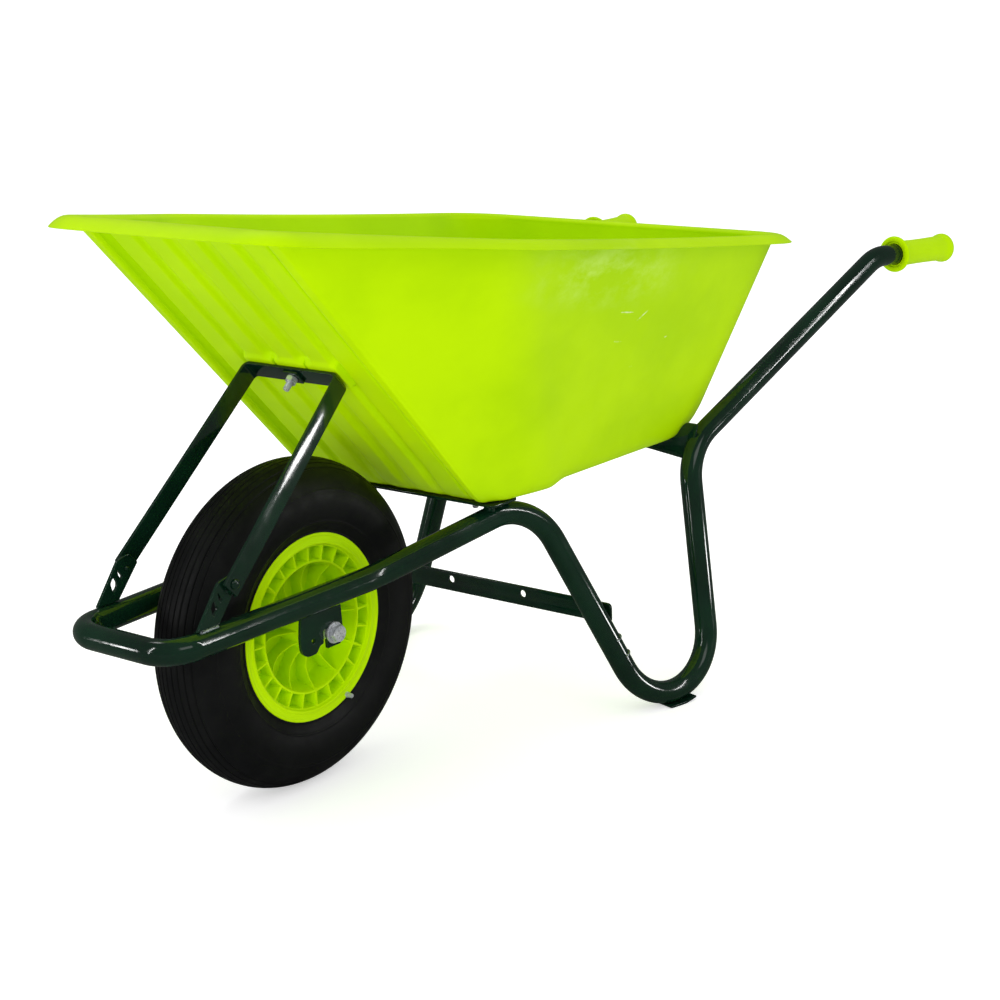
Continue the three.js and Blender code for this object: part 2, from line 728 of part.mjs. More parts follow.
// Rings from the floor up round the rounded edge and up the wall, for a skin set in from the outside.
function bowlRings(inset, lift) {
  const foot = outline(FLOOR, inset);
  const head = outline(MOUTH, inset);
  const lines = foot.map((q, i) => {
    const low = new THREE.Vector3(q.x, q.y, floorZ(q.x));
    const high = new THREE.Vector3(head[i].x, head[i].y, rimZ(head[i].x) - MOUTH_DROP);
    const edge = low.clone().lerp(high, lift / (high.z - low.z));
    const reach = floorReach(q.x);
    const middle = new THREE.Vector2(FLOOR_MIDDLE_X, 0);
    const inner = new THREE.Vector2(q.x, q.y).lerp(middle, reach / FLOOR_MIDDLE_X);
    const flat = new THREE.Vector3(inner.x, inner.y, edge.z);
    const start = edge.clone().add(high.clone().sub(edge).setLength(reach));
    return { flat, edge, start, high, depth: q.depth };
  });
  const round = (k) => lines.map(({ flat, edge, start, depth }) => {
    const q = new THREE.QuadraticBezierCurve3(flat, edge, start).getPoint(k);
    return pushed(q, depth * k);
  });
  const wall = (k) => lines.map(({ start, high, depth }) => pushed(start.clone().lerp(high, k), depth));
  const level = (z, seat) => lines.map(({ start, high, depth }) => {
    const q = start.clone().lerp(high, (z - start.z) / (high.z - start.z));
    const flush = seat && depth === RIDGE_DEPTH && Math.abs(q.y) < SEAT_HALF;
    return pushed(q, flush ? SEAT_DEPTH : depth);
  });
  const [low, top] = SEAT_Z;
  const seat = [level(low - 2, false), level(low, true), level(top, true), level(top + 2, false)];
  return [round(0), round(0.5), round(1), ...seat, wall(0.97)];
}

// Moves a point of the sloping front wall into the tray by the groove's depth.
function pushed(point, depth) {
  const push = depth * Math.SQRT1_2;
  return point.add(new THREE.Vector3(push, 0, push));
}

// A ring of the rim, set out from an outline and below the rim's top.
function rimRing(level, out, drop) {
  return outline(level, -out).map((q) => new THREE.Vector3(q.x, q.y, rimZ(q.x) - drop));
}

// A closed skin through rings of equal length, with a fan over the first and the last.
function skin(rings) {
  const count = rings[0].length;
  const centreOf = (ring) => {
    const sum = ring.reduce((total, q) => total.add(q), new THREE.Vector3());
    return sum.multiplyScalar(1 / count);
  };
  const points = [...rings.flat(), centreOf(rings[0]), centreOf(rings[rings.length - 1])];
  const index = [];
  const first = points.length - 2;
  const last = points.length - 1;
  const end = (rings.length - 1) * count;
  for (let i = 0; i < count; i++) {
    const next = (i + 1) % count;
    index.push(first, i, next, last, end + next, end + i);
    for (let row = 0; row < rings.length - 1; row++) {
      const a = row * count;
      const b = a + count;
      index.push(a + i, b + i, a + next, a + next, b + i, b + next);
    }
  }
  const geometry = new THREE.BufferGeometry().setFromPoints(points);
  geometry.setIndex(index);
  return geometry;
}

function trayGeometry() {
  const rings = [
    ...bowlRings(0, 0),
    rimRing(MOUTH, 1, 5.5),
    rimRing(LIP, -5, 5.5),
    rimRing(LIP, -4, LIP_DROP),
    rimRing(LIP, 0, LIP_DROP),
    rimRing(LIP, -1.5, 4),
    rimRing(LIP, -7, 0),
    rimRing(MOUTH, 3, 0),
    rimRing(MOUTH, -TRAY_WALL, 3),
    ...bowlRings(TRAY_WALL, FLOOR_WALL).reverse(),
  ];
  return toGeometry(toSolid(skin(rings)));
}

// ---- Members under the tray ----
const BAR_THICK = 3;
const FRONT_BAR_X = 238;
const FRONT_BAR_WIDTH = 50;
const FRONT_BOLT_X = 248;
const REAR_BAR_X = 578;
const REAR_BOLT_X = REAR_BAR_X + 18;
const FRONT_BAR_HALF = 146;
const TRAY_BOLT_Y = 90;
const BOLT_R = 4; // M8 bolts hold the tray and the brace
const BOLT_HOLE_R = 4.5;
const BOLT_SPANNER = 13;
const BOLT_HEAD_R = 9;
const BOLT_HEAD_HEIGHT = 4;
const BOLT_NUT_HEIGHT = 6.5;
const TRAY_BOLT_LENGTH = 24;
const BRACE_BOLT_LENGTH = 32;

function boltHole(x, side, z) {
  return barY(BOLT_HOLE_R, -TRAY_BOLT_LENGTH, TRAY_BOLT_LENGTH, 8)
    .rotateX(Math.PI / 2)
    .translate(x, side * TRAY_BOLT_Y, z);
}

// A bar that stands for a frame tube grown by the gap, to cut pieces that are welded round it.
function tubeCutter(route) {
  return sweep(new THREE.Shape(circlePoints(TUBE_R + GAP, 12)), route);
}

function clearOfTubes(geometry) {
  const routes = [-1, 1].flatMap((side) => [railAndLegRoute(side), handleRoute(side)]);
  return cut(geometry, routes.map(tubeCutter));
}

function frontBarTop() {
  return floorZ(FRONT_BAR_X - FRONT_BAR_WIDTH / 2) - GAP;
}

function frontCrossBar() {
  const top = frontBarTop();
  const bar = new THREE.BoxGeometry(FRONT_BAR_WIDTH, 2 * FRONT_BAR_HALF, BAR_THICK);
  bar.translate(FRONT_BAR_X, 0, top - BAR_THICK / 2);
  return cut(bar, [-1, 1].map((s) => boltHole(FRONT_BOLT_X, s, top)));
}

// A comb of three feet that holds the front cross bar on the crest of one tube.
const SADDLE_PITCH = 15;

function barSaddle(side) {
  const top = frontBarTop() - BAR_THICK - GAP;
  const comb = new THREE.BoxGeometry(2 * SADDLE_PITCH + 6, 16, 2).translate(0, 0, -1);
  const feet = [-1, 0, 1].map((i) => new THREE.BoxGeometry(5, 16, 14).translate(i * SADDLE_PITCH, 0, -7));
  const whole = join([comb, ...feet]);
  return clearOfTubes(whole.translate(FRONT_BAR_X + 6, side * 127, top));
}

const REAR_HORN_TOP = 351;

// A pressed cross member between the shoulders: a web under the tray with a horn up to each tube.
function rearCrossMember() {
  const under = floorZ(REAR_BAR_X) - GAP - 0.4;
  const half = [
    [118, 309],
    [187, 300],
    [200, 304],
    [209, REAR_HORN_TOP],
    [192, REAR_HORN_TOP],
    [186, 345],
    [177, 333],
    [168, under + 1],
    [152, under - 1],
  ];
  const mirrored = half.map(([y, z]) => [-y, z]).reverse();
  const web = new THREE.Shape([...half, ...mirrored].map(([y, z]) => new THREE.Vector2(y, z)));
  const plate = new THREE.ExtrudeGeometry(web, { depth: BAR_THICK, bevelEnabled: false });
  plate.rotateX(Math.PI / 2).rotateZ(Math.PI / 2).translate(REAR_BAR_X, 0, 0);
  const shelf = new THREE.BoxGeometry(32, 290, BAR_THICK);
  shelf.translate(REAR_BAR_X + 15, 0, under - 1 - BAR_THICK / 2);
  const holes = [-1, 1].map((s) => boltHole(REAR_BOLT_X, s, under));
  return clearOfTubes(cut(join([plate, shelf]), holes));
}

// A flat bar across the backs of the two front leg tubes, with two holes.
const LEG_BRACE_MIDDLE = [379, 0, 138.5];
const LEG_BRACE_HEIGHT = 27;
const LEG_BRACE_HALF = 204;
const LEG_BRACE_THICK = 4;

function legBrace() {
  const bar = new THREE.BoxGeometry(LEG_BRACE_THICK, 2 * LEG_BRACE_HALF, LEG_BRACE_HEIGHT);
  const hole = new THREE.CylinderGeometry(5, 5, 20, 10).rotateZ(Math.PI / 2);
  const holes = [-61, 61].map((y) => hole.clone().translate(0, y, 3));
  return clearOfTubes(cut(bar, holes).translate(...LEG_BRACE_MIDDLE));
}

// The thickness of metal under the floor at the front and the rear bolts.
const BOLT_ROWS = [
  ["front", FRONT_BOLT_X, BAR_THICK],
  ["rear", REAR_BOLT_X, BAR_THICK + 1],
];

function addTrayBolts() {
  for (const [end, x, below] of BOLT_ROWS) {
    for (const [label, side] of SIDES) {
      const y = side * TRAY_BOLT_Y;
      const head = new THREE.Vector3(x, y, floorZ(x) + FLOOR_WALL + 3 * GAP);
      const nut = new THREE.Vector3(x, y, floorZ(x) - below - BOLT_NUT_HEIGHT - 2);
      aim(add(`tray_bolt_${end}_${label}`, m8Bolt(TRAY_BOLT_LENGTH), ZINC), head, UP);
      aim(add(`tray_nut_${end}_${label}`, m8Nut(), ZINC), nut, UP);
    }
  }
}

function trayHoles() {
  const floorHoles = BOLT_ROWS.flatMap(([, x]) => [-1, 1].map((s) => boltHole(x, s, floorZ(x))));
  const crossbarHole = barY(BOLT_HOLE_R, -10, 30, 8);
  return [...floorHoles, turned(crossbarHole, crossbarMiddle(), braceDirection())];
}

// ---- Assembly ----
add("tray", cut(trayGeometry(), trayHoles()), LIME);
add("nose_tube", noseTube(), DARK_GREEN);
for (const [label, side] of SIDES) {
  add("side_rail_" + label, sideRail(side), DARK_GREEN);
  add("leg_tube_" + label, sweep(TUBE_SECTION, legRoute(side)), DARK_GREEN);
  add("handle_tube_" + label, sweep(TUBE_SECTION, handleRoute(side)), DARK_GREEN);
  add("foot_skid_" + label, footSkid(side), DARK_GREEN);
  add("brace_tab_" + label, braceTab(side), DARK_GREEN);
  add("axle_plate_" + label, axlePlate(side), DARK_GREEN);
  add("bar_saddle_" + label, barSaddle(side), DARK_GREEN);
  addGrip(label, side);
  addTabScrew(label, side);
}
add("nose_brace", noseBrace(), DARK_GREEN);
add("front_cross_bar", frontCrossBar(), DARK_GREEN);
add("rear_cross_member", rearCrossMember(), DARK_GREEN);
add("leg_brace", legBrace(), DARK_GREEN);
addBraceBolt();
addTrayBolts();
addAxle();
addWheel();

// The origin is on the ground under the middle of the whole length.
const box = new THREE.Box3().setFromObject(barrow, true);
barrow.position.x = -(box.min.x + box.max.x) / 2;

export default barrow;
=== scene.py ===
"""The looks of a single-wheel barrow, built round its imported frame.

Metres. +X runs from the nose to the handles, +Y to the operator's right, +Z up.
Shapes are worked out in millimetres with the axle above x = 0, then moved to the frame's place.
"""

import math

import bmesh
import bpy
import numpy as np
from mathutils import Matrix, Vector


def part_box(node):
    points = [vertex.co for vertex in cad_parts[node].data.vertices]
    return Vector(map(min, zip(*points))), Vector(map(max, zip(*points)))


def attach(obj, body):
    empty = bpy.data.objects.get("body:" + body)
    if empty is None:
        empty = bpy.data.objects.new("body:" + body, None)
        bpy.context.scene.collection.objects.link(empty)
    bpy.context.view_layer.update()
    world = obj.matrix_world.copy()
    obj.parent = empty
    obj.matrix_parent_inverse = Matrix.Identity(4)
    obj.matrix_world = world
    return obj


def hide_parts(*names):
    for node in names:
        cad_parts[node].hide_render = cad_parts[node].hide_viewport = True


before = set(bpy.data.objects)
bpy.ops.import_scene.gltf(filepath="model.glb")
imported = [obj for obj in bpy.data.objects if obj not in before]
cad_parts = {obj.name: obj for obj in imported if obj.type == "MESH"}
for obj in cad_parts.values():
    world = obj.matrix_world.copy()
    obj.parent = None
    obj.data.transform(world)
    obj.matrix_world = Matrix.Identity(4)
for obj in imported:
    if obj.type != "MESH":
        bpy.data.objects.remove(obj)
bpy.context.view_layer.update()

# ---- Where the frame puts things ----
MM = 0.001
TYRE_LOW, TYRE_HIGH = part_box("tyre")
ORIGIN = np.array([(TYRE_LOW[0] + TYRE_HIGH[0]) / 2, 0.0, 0.0])
WHEEL_R = (TYRE_HIGH[2] - TYRE_LOW[2]) / 2 / MM
SIDES = (("left", -1), ("right", 1))

# ---- Driving dimensions, in millimetres ----
TUBE_R = 15
NOSE = (-261, 77, 250)
KNEE = (57, 87, 256)
CREST = (302, 136, 302)
GROUND = (487, 314, -216.3)
SHOULDER = (571, 200, 317)
WRIST = (983, 263.5, 526)
TIP = (1158.5, 290.6, 519.6)
BENDS = {"nose": 36, "knee": 150, "crest": 80, "ground": 79, "shoulder": 85, "wrist": 75}
GRIP_LENGTH = 133
GRIP_R = 18
FLANGE_R = 26.5
GRIP_END_R = 21.5
BRACE_TOP = (33, 72.5, 495.2)
BRACE_MIDDLE = np.array([BRACE_TOP[0], 0, BRACE_TOP[2]])
BRACE_FOOT = (-176.8, 86, 302.1)
BRACE_WIDTH, BRACE_THICK, TAB_THICK = 25, 4, 4
BAR_THICK = 3
GAP = 0.3  # between pieces that touch
NUT_HEX, NUT_HEIGHT, NUT_BORE, BOLT_HOLE_R = 13, 6.5, 4.1, 4.4
FRONT_BAR_X = 238
REAR_BAR_X = 578
TRAY_BOLTS = ((248, 90), (596, 90))


# ---- Meshes ----
def metres(points):
    return np.asarray(points, float) * MM + ORIGIN


def link(obj):
    bpy.context.scene.collection.objects.link(obj)
    return obj


def mesh_object(name, points, faces, sharp_angle=35):
    """An object of one mesh, its faces turned outwards and smooth up to an angle."""
    mesh = bpy.data.meshes.new(name)
    mesh.from_pydata(metres(points).tolist(), [], faces)
    work = bmesh.new()
    work.from_mesh(mesh)
    bmesh.ops.remove_doubles(work, verts=work.verts, dist=1e-6)
    bmesh.ops.recalc_face_normals(work, faces=work.faces)
    work.to_mesh(mesh)
    work.free()
    mesh.shade_smooth()
    mesh.set_sharp_from_angle(angle=math.radians(sharp_angle))
    return link(bpy.data.objects.new(name, mesh))


def finish_piece(obj, material, body, nodes):
    obj.data.materials.append(material)
    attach(obj, body)
    if nodes:
        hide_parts(*nodes)
    return obj


def merge(parts):
    """Several (points, faces) as one."""
    points, faces, start = [], [], 0
    for part_points, part_faces in parts:
        points.append(np.asarray(part_points, float))
        faces.extend(tuple(int(i) + start for i in face) for face in part_faces)
        start += len(part_points)
    return np.concatenate(points), faces


def moved(part, matrix=None, offset=(0, 0, 0)):
    points, faces = part
    points = np.asarray(points, float)
    if matrix is not None:
        points = points @ np.asarray(matrix, float).T
    return points + np.asarray(offset, float), faces


def loft(rings, caps=True, closed=True):
    """A skin through rings of equal length, with its two ends filled."""
    rings = np.asarray(rings, float)
    rows, count = rings.shape[:2]
    index = np.arange(rows * count).reshape(rows, count)
    after = np.roll(index, -1, axis=1)
    span = count if closed else count - 1
    quads = np.stack([index[:-1], after[:-1], after[1:], index[1:]], axis=-1)[:, :span]
    faces = [tuple(q) for q in quads.reshape(-1, 4).tolist()]
    if caps:
        faces.append(tuple(index[0].tolist()))
        faces.append(tuple(reversed(index[-1].tolist())))
    return rings.reshape(-1, 3), faces


def torus_loft(rings):
    """A skin through rings whose last joins the first."""
    rings = np.asarray(rings, float)
    rows, count = rings.shape[:2]
    index = np.arange(rows * count).reshape(rows, count)
    after = np.roll(index, -1, axis=1)
    below, below_after = np.roll(index, -1, axis=0), np.roll(after, -1, axis=0)
    quads = np.stack([index, after, below_after, below], axis=-1)
    return rings.reshape(-1, 3), [tuple(q) for q in quads.reshape(-1, 4).tolist()]


def lathe(profile, steps=48):
    """A closed profile of (radius, height) turned about Y; a radius of 0 makes a tip."""
    angles = np.linspace(0, 2 * math.pi, steps, endpoint=False)
    circle = np.stack([np.cos(angles), np.zeros(steps), np.sin(angles)], axis=1)
    rings = [circle * max(radius, 1e-3) + np.array([0, height, 0]) for radius, height in profile]
    if profile[0][0] == 0:
        return loft(rings)
    return torus_loft(rings)


def rounded(corners, radius, steps=5):
    """A closed 2D outline with rounded corners. A corner may bring a radius of its own as its third number."""
    corners = [tuple(c) for c in corners]
    out = []
    for i, corner in enumerate(corners):
        own = corner[2] if len(corner) > 2 else radius
        here = np.array(corner[:2], float)
        before = np.array(corners[i - 1][:2], float) - here
        after = np.array(corners[(i + 1) % len(corners)][:2], float) - here
        reach = min(own, 0.45 * np.linalg.norm(before), 0.45 * np.linalg.norm(after))
        a = here + before / np.linalg.norm(before) * reach
        b = here + after / np.linalg.norm(after) * reach
        for t in np.linspace(0, 1, steps):
            out.append((1 - t) ** 2 * a + 2 * t * (1 - t) * here + t ** 2 * b)
    return np.array(out)


def rectangle(width, height, radius, steps):
    x, y = width / 2, height / 2
    return rounded([(-x, -y), (x, -y), (x, y), (-x, y)], radius, steps)


def circle_outline(radius, centre=(0, 0), steps=24):
    angles = np.linspace(0, 2 * math.pi, steps, endpoint=False)
    return np.stack([centre[0] + radius * np.cos(angles), centre[1] + radius * np.sin(angles)], axis=1)


def plate(outline, holes, thickness, ease=0.5):
    """A plate in X and Y, thick along Z, with eased edges and any holes."""
    curve = bpy.data.curves.new("outline", "CURVE")
    curve.dimensions = "2D"
    curve.fill_mode = "BOTH"
    for loop in [outline, *holes]:
        spline = curve.splines.new("POLY")
        spline.points.add(len(loop) - 1)
        for point, place in zip(spline.points, loop):
            point.co = (place[0], place[1], 0, 1)
        spline.use_cyclic_u = True
    curve.extrude = thickness / 2 - ease
    curve.bevel_depth = ease
    curve.bevel_resolution = 2
    curve.offset = -ease
    holder = link(bpy.data.objects.new("outline", curve))
    depsgraph = bpy.context.evaluated_depsgraph_get()
    mesh = bpy.data.meshes.new_from_object(holder.evaluated_get(depsgraph))
    points = np.array([v.co[:] for v in mesh.vertices])
    faces = [tuple(p.vertices) for p in mesh.polygons]
    bpy.data.objects.remove(holder)
    bpy.data.curves.remove(curve)
    bpy.data.meshes.remove(mesh)
    return points, faces


UPRIGHT = ((1, 0, 0), (0, 0, -1), (0, 1, 0))  # a plate's own X and Y become X and Z
CROSSWISE = ((0, 0, 1), (1, 0, 0), (0, 1, 0))  # they become Y and Z


def unit(v):
    v = np.asarray(v, float)
    return v / np.linalg.norm(v)


def basis(x, y, z):
    """A matrix whose columns are three directions."""
    return np.stack([x, y, z], axis=1)


def along_y(direction):
    """A turn that takes Y to a direction."""
    return np.array(Vector((0, 1, 0)).rotation_difference(Vector(unit(direction))).to_matrix())


# ---- Bent routes ----
def route(corners, bends, step=math.radians(4)):
    """Points and tangents along straight runs joined by arcs."""
    corners = [np.asarray(c, float) for c in corners]
    points, tangents = [corners[0]], [unit(corners[1] - corners[0])]
    for i, radius in enumerate(bends):
        into = unit(corners[i + 1] - corners[i])
        out = unit(corners[i + 2] - corners[i + 1])
        turn = math.acos(np.clip(into @ out, -1, 1))
        start = corners[i + 1] - into * radius * math.tan(turn / 2)
        side = unit(out - into * (into @ out))
        steps = max(2, math.ceil(turn / step))
        for k in range(steps + 1):
            a = turn * k / steps
            points.append(start + into * radius * math.sin(a) + side * radius * (1 - math.cos(a)))
            tangents.append(into * math.cos(a) + side * math.sin(a))
    points.append(corners[-1])
    tangents.append(unit(corners[-1] - corners[-2]))
    return np.array(points), np.array(tangents)


def sweep(section, path, first=None):
    """A section of (a, b) carried along a path. With first, a keeps near it; without, it rolls least."""
    points, tangents = path
    across = np.asarray(first if first is not None else (0.31, 0.22, 0.93), float)
    rings = []
    for point, tangent in zip(points, tangents):
        toward = across if first is None else np.asarray(first, float)
        across = unit(toward - tangent * (toward @ tangent))
        other = np.cross(tangent, across)
        rings.append(point + section[:, :1] * across + section[:, 1:] * other)
    return loft(rings)


def on_side(corner, side):
    return np.array([corner[0], side * corner[1], corner[2]], float)


def bead(points, radius=2.4, ripple=4.0):
    """A weld bead: a thin rope of overlapping ripples along points."""
    points = np.asarray(points, float)
    lengths = np.concatenate([[0], np.cumsum(np.linalg.norm(np.diff(points, axis=0), axis=1))])
    stations = np.arange(0, lengths[-1], 0.7)
    centre = np.stack([np.interp(stations, lengths, points[:, i]) for i in range(3)], axis=1)
    tangents = np.gradient(centre, axis=0)
    tangents /= np.linalg.norm(tangents, axis=1, keepdims=True)
    section = circle_outline(1, steps=10)
    across = np.array([0.2, 0.3, 0.9])
    rings = []
    for i, (point, tangent) in enumerate(zip(centre, tangents)):
        across = unit(across - tangent * (across @ tangent))
        wave = abs(math.sin(math.pi * stations[i] / ripple + 0.7 * math.sin(stations[i] * 0.37)))
        size = radius * (0.82 + 0.25 * wave)
        ends = min(stations[i], stations[-1] - stations[i])
        size *= min(1, 0.35 + ends / 3)
        rings.append(point + size * (section[:, :1] * across + section[:, 1:] * np.cross(tangent, across)))
    return loft(rings)


# ---- Materials ----
class Nodes:
    """A short way to lay out a material's nodes. Everything is placed by the object's own coordinates."""

    def __init__(self, name):
        self.material = bpy.data.materials.new(name)
        self.material.use_nodes = True
        self.tree = self.material.node_tree
        self.shader = self.tree.nodes["Principled BSDF"]
        self.place = self.tree.nodes.new("ShaderNodeTexCoord").outputs["Object"]

    def feed(self, socket, value):
        """Link a socket to an output, or set it to a number or colour."""
        if isinstance(value, bpy.types.NodeSocket):
            self.tree.links.new(value, socket)
        else:
            socket.default_value = value

    def node(self, kind, **inputs):
        made = self.tree.nodes.new("ShaderNode" + kind)
        for key, value in inputs.items():
            self.feed(made.inputs[key.replace("_", " ")], value)
        return made

    def noise(self, scale, detail=4.0, roughness=0.55, place=None):
        place = place or self.place
        made = self.node("TexNoise", Scale=scale, Detail=detail, Roughness=roughness, Vector=place)
        return made.outputs["Fac"]

    def stretched(self, scale):
        return self.node("Mapping", Scale=scale, Vector=self.place).outputs["Vector"]

    def spot(self, at, size, turn, solid):
        """One in a soft-edged ellipsoid at a place, turned about Y, and none outside it."""
        made = self.node("Mapping", Location=at, Rotation=(0, turn, 0), Scale=size, Vector=self.place)
        made.vector_type = "TEXTURE"
        reach = self.node("VectorMath", Vector=made.outputs["Vector"])
        reach.operation = "LENGTH"
        return self.band(reach.outputs["Value"], solid, 1.0, 1.0, 0.0)

    def band(self, value, low, high, to_low=0.0, to_high=1.0):
        """A value mapped smoothly from one range to another."""
        made = self.node("MapRange", Value=value, From_Min=low, From_Max=high, To_Min=to_low, To_Max=to_high)
        made.interpolation_type = "SMOOTHSTEP"
        return made.outputs["Result"]

    def maths(self, operation, a, b):
        made = self.tree.nodes.new("ShaderNodeMath")
        made.operation = operation
        for socket, value in zip(made.inputs, (a, b)):
            self.feed(socket, value)
        return made.outputs["Value"]

    def colour(self, factor, first, second):
        made = self.tree.nodes.new("ShaderNodeMix")
        made.data_type = "RGBA"
        self.tree.links.new(factor, made.inputs[0])
        for socket, value in ((made.inputs[6], first), (made.inputs[7], second)):
            self.feed(socket, (*value, 1) if isinstance(value, tuple) else value)
        return made.outputs[2]

    def bump(self, height, strength, distance, under=None):
        made = self.node("Bump", Strength=strength, Distance=distance, Height=height)
        if under is not None:
            self.tree.links.new(under, made.inputs["Normal"])
        return made.outputs["Normal"]

    def set(self, **inputs):
        for key, value in inputs.items():
            self.feed(self.shader.inputs[key.replace("_", " ")], value)


# Short scratches on the left wall: middle x and z, half length and turn, in metres from the axle and radians
WALL_SCRATCHES = ((0.369, 0.5365, 0.018, 0.14), (0.406, 0.527, 0.013, -0.5), (0.366, 0.4995, 0.010, 0.16),
                  (0.471, 0.488, 0.006, -0.2), (0.411, 0.459, 0.004, 0.0))
LEFT_WALL_Y = -0.24


def lime_plastic(name, scuffed):
    n = Nodes(name)
    deep, fresh, dusty = (0.42, 0.71, 0.0), (0.50, 0.80, 0.0), (0.62, 0.86, 0.16)
    base = n.colour(n.band(n.noise(5.0, 5.0), 0.32, 0.68), deep, fresh)
    speck = n.band(n.noise(420.0, 2.0), 0.70, 0.80, 0, 0.25)
    base = n.colour(speck, base, (0.36, 0.62, 0.0))
    rough = n.band(n.noise(14.0, 6.0, 0.6), 0.3, 0.7, 0.40, 0.54)
    if scuffed:
        start = float(ORIGIN[0])
        worn = n.spot((start + 0.31, LEFT_WALL_Y, 0.595), (0.21, 0.12, 0.060), 0.12, 0.1)
        blotches = n.band(n.noise(11.0, 7.0, 0.68, n.stretched((0.8, 1, 1.3))), 0.42, 0.66)
        cloud = n.maths("MULTIPLY", worn, blotches)
        base = n.colour(n.maths("MULTIPLY", cloud, 0.75), base, dusty)
        for x, z, half, turn in WALL_SCRATCHES:
            line = n.spot((start + x, LEFT_WALL_Y, z), (half, 0.08, 0.0011), turn, 0.5)
            broken = n.maths("MULTIPLY", line, n.band(n.noise(300.0, 2.0), 0.40, 0.55))
            base = n.colour(n.maths("MULTIPLY", broken, 0.8), base, (0.80, 0.92, 0.55))
    grain = n.bump(n.noise(1500.0, 2.0), 0.15, 0.0003)
    swell = n.bump(n.noise(22.0, 3.0), 0.12, 0.0014, grain)
    n.set(Base_Color=base, Roughness=rough, Normal=swell, IOR=1.45)
    n.set(Specular_IOR_Level=0.10, Specular_Tint=(0.70, 1.0, 0.05, 1))
    return n.material


def frame_paint():
    n = Nodes("frame_paint")
    base = n.colour(n.band(n.noise(9.0, 4.0), 0.3, 0.7), (0.0016, 0.0110, 0.0055), (0.0034, 0.0210, 0.0100))
    chips = n.band(n.noise(60.0, 7.0, 0.65), 0.745, 0.76, 0, 0.7)
    base = n.colour(chips, base, (0.018, 0.032, 0.026))
    rough = n.band(n.noise(35.0, 4.0), 0.3, 0.7, 0.07, 0.15)
    peel = n.bump(n.noise(190.0, 2.0, 0.4), 0.07, 0.0004)
    wave = n.bump(n.noise(30.0, 2.0), 0.05, 0.0010, peel)
    n.set(Base_Color=base, Roughness=rough, Normal=wave, IOR=1.5)
    return n.material


def weld_metal():
    """Weld beads under thin paint, with bright spatter showing through."""
    n = Nodes("weld_metal")
    bare = n.band(n.noise(330.0, 4.0, 0.7), 0.44, 0.54)
    base = n.colour(bare, (0.006, 0.020, 0.014), (0.42, 0.46, 0.48))
    bump = n.bump(n.noise(500.0, 3.0), 0.5, 0.0006)
    n.set(Base_Color=base, Roughness=n.band(bare, 0, 1, 0.25, 0.38), Metallic=bare, Normal=bump)
    return n.material


def tyre_rubber():
    n = Nodes("tyre_rubber")
    shade = n.band(n.noise(16.0, 6.0, 0.6), 0.3, 0.72)
    base = n.colour(shade, (0.0036, 0.0040, 0.0042), (0.0068, 0.0072, 0.0070))
    dust = n.band(n.noise(7.0, 7.0, 0.7), 0.55, 0.8, 0, 0.30)
    base = n.colour(dust, base, (0.014, 0.0145, 0.013))
    rough = n.band(n.noise(40.0, 5.0), 0.3, 0.7, 0.40, 0.56)
    grain = n.bump(n.noise(900.0, 3.0, 0.6), 0.24, 0.0004)
    swell = n.bump(n.noise(45.0, 3.0), 0.10, 0.0010, grain)
    n.set(Base_Color=base, Roughness=rough, Normal=swell, IOR=1.45, Specular_IOR_Level=0.13)
    return n.material


def zinc():
    n = Nodes("zinc_plate")
    base = n.colour(n.band(n.noise(120.0, 5.0), 0.3, 0.7), (0.50, 0.53, 0.57), (0.72, 0.74, 0.76))
    rough = n.band(n.noise(260.0, 6.0, 0.7), 0.25, 0.75, 0.20, 0.42)
    grain = n.bump(n.noise(1400.0, 4.0), 0.25, 0.0002)
    n.set(Base_Color=base, Roughness=rough, Normal=grain, Metallic=0.6)
    return n.material


def black_nylon():
    n = Nodes("black_nylon")
    base = n.colour(n.band(n.noise(70.0, 5.0), 0.3, 0.7), (0.012, 0.012, 0.013), (0.026, 0.026, 0.027))
    rough = n.band(n.noise(200.0, 4.0), 0.3, 0.7, 0.45, 0.62)
    grain = n.bump(n.noise(1200.0, 3.0), 0.3, 0.0002)
    n.set(Base_Color=base, Roughness=rough, Normal=grain)
    return n.material


LIME_TRAY = lime_plastic("lime_tray", True)
LIME = lime_plastic("lime_plastic", False)
PAINT = frame_paint()
RUBBER = tyre_rubber()
ZINC = zinc()
NYLON = black_nylon()
WELD = weld_metal()

LOOKS = {
    "lime_tray": (LIME_TRAY, "lime_plastic"),
    "lime": (LIME, "lime_plastic"),
    "paint": (PAINT, "frame_paint"),
    "rubber": (RUBBER, "tyre_rubber"),
    "tube_rubber": (RUBBER, "tube_rubber"),
    "zinc": (ZINC, "zinc"),
    "nylon": (NYLON, "nylon"),
    "weld": (WELD, "frame_paint"),
}


def piece(name, part, look, nodes=(), body="barrow", sharp_angle=35):
    material, slot = LOOKS[look]
    points, faces = part
    return finish_piece(mesh_object(name, points, faces, sharp_angle), material, body, nodes)


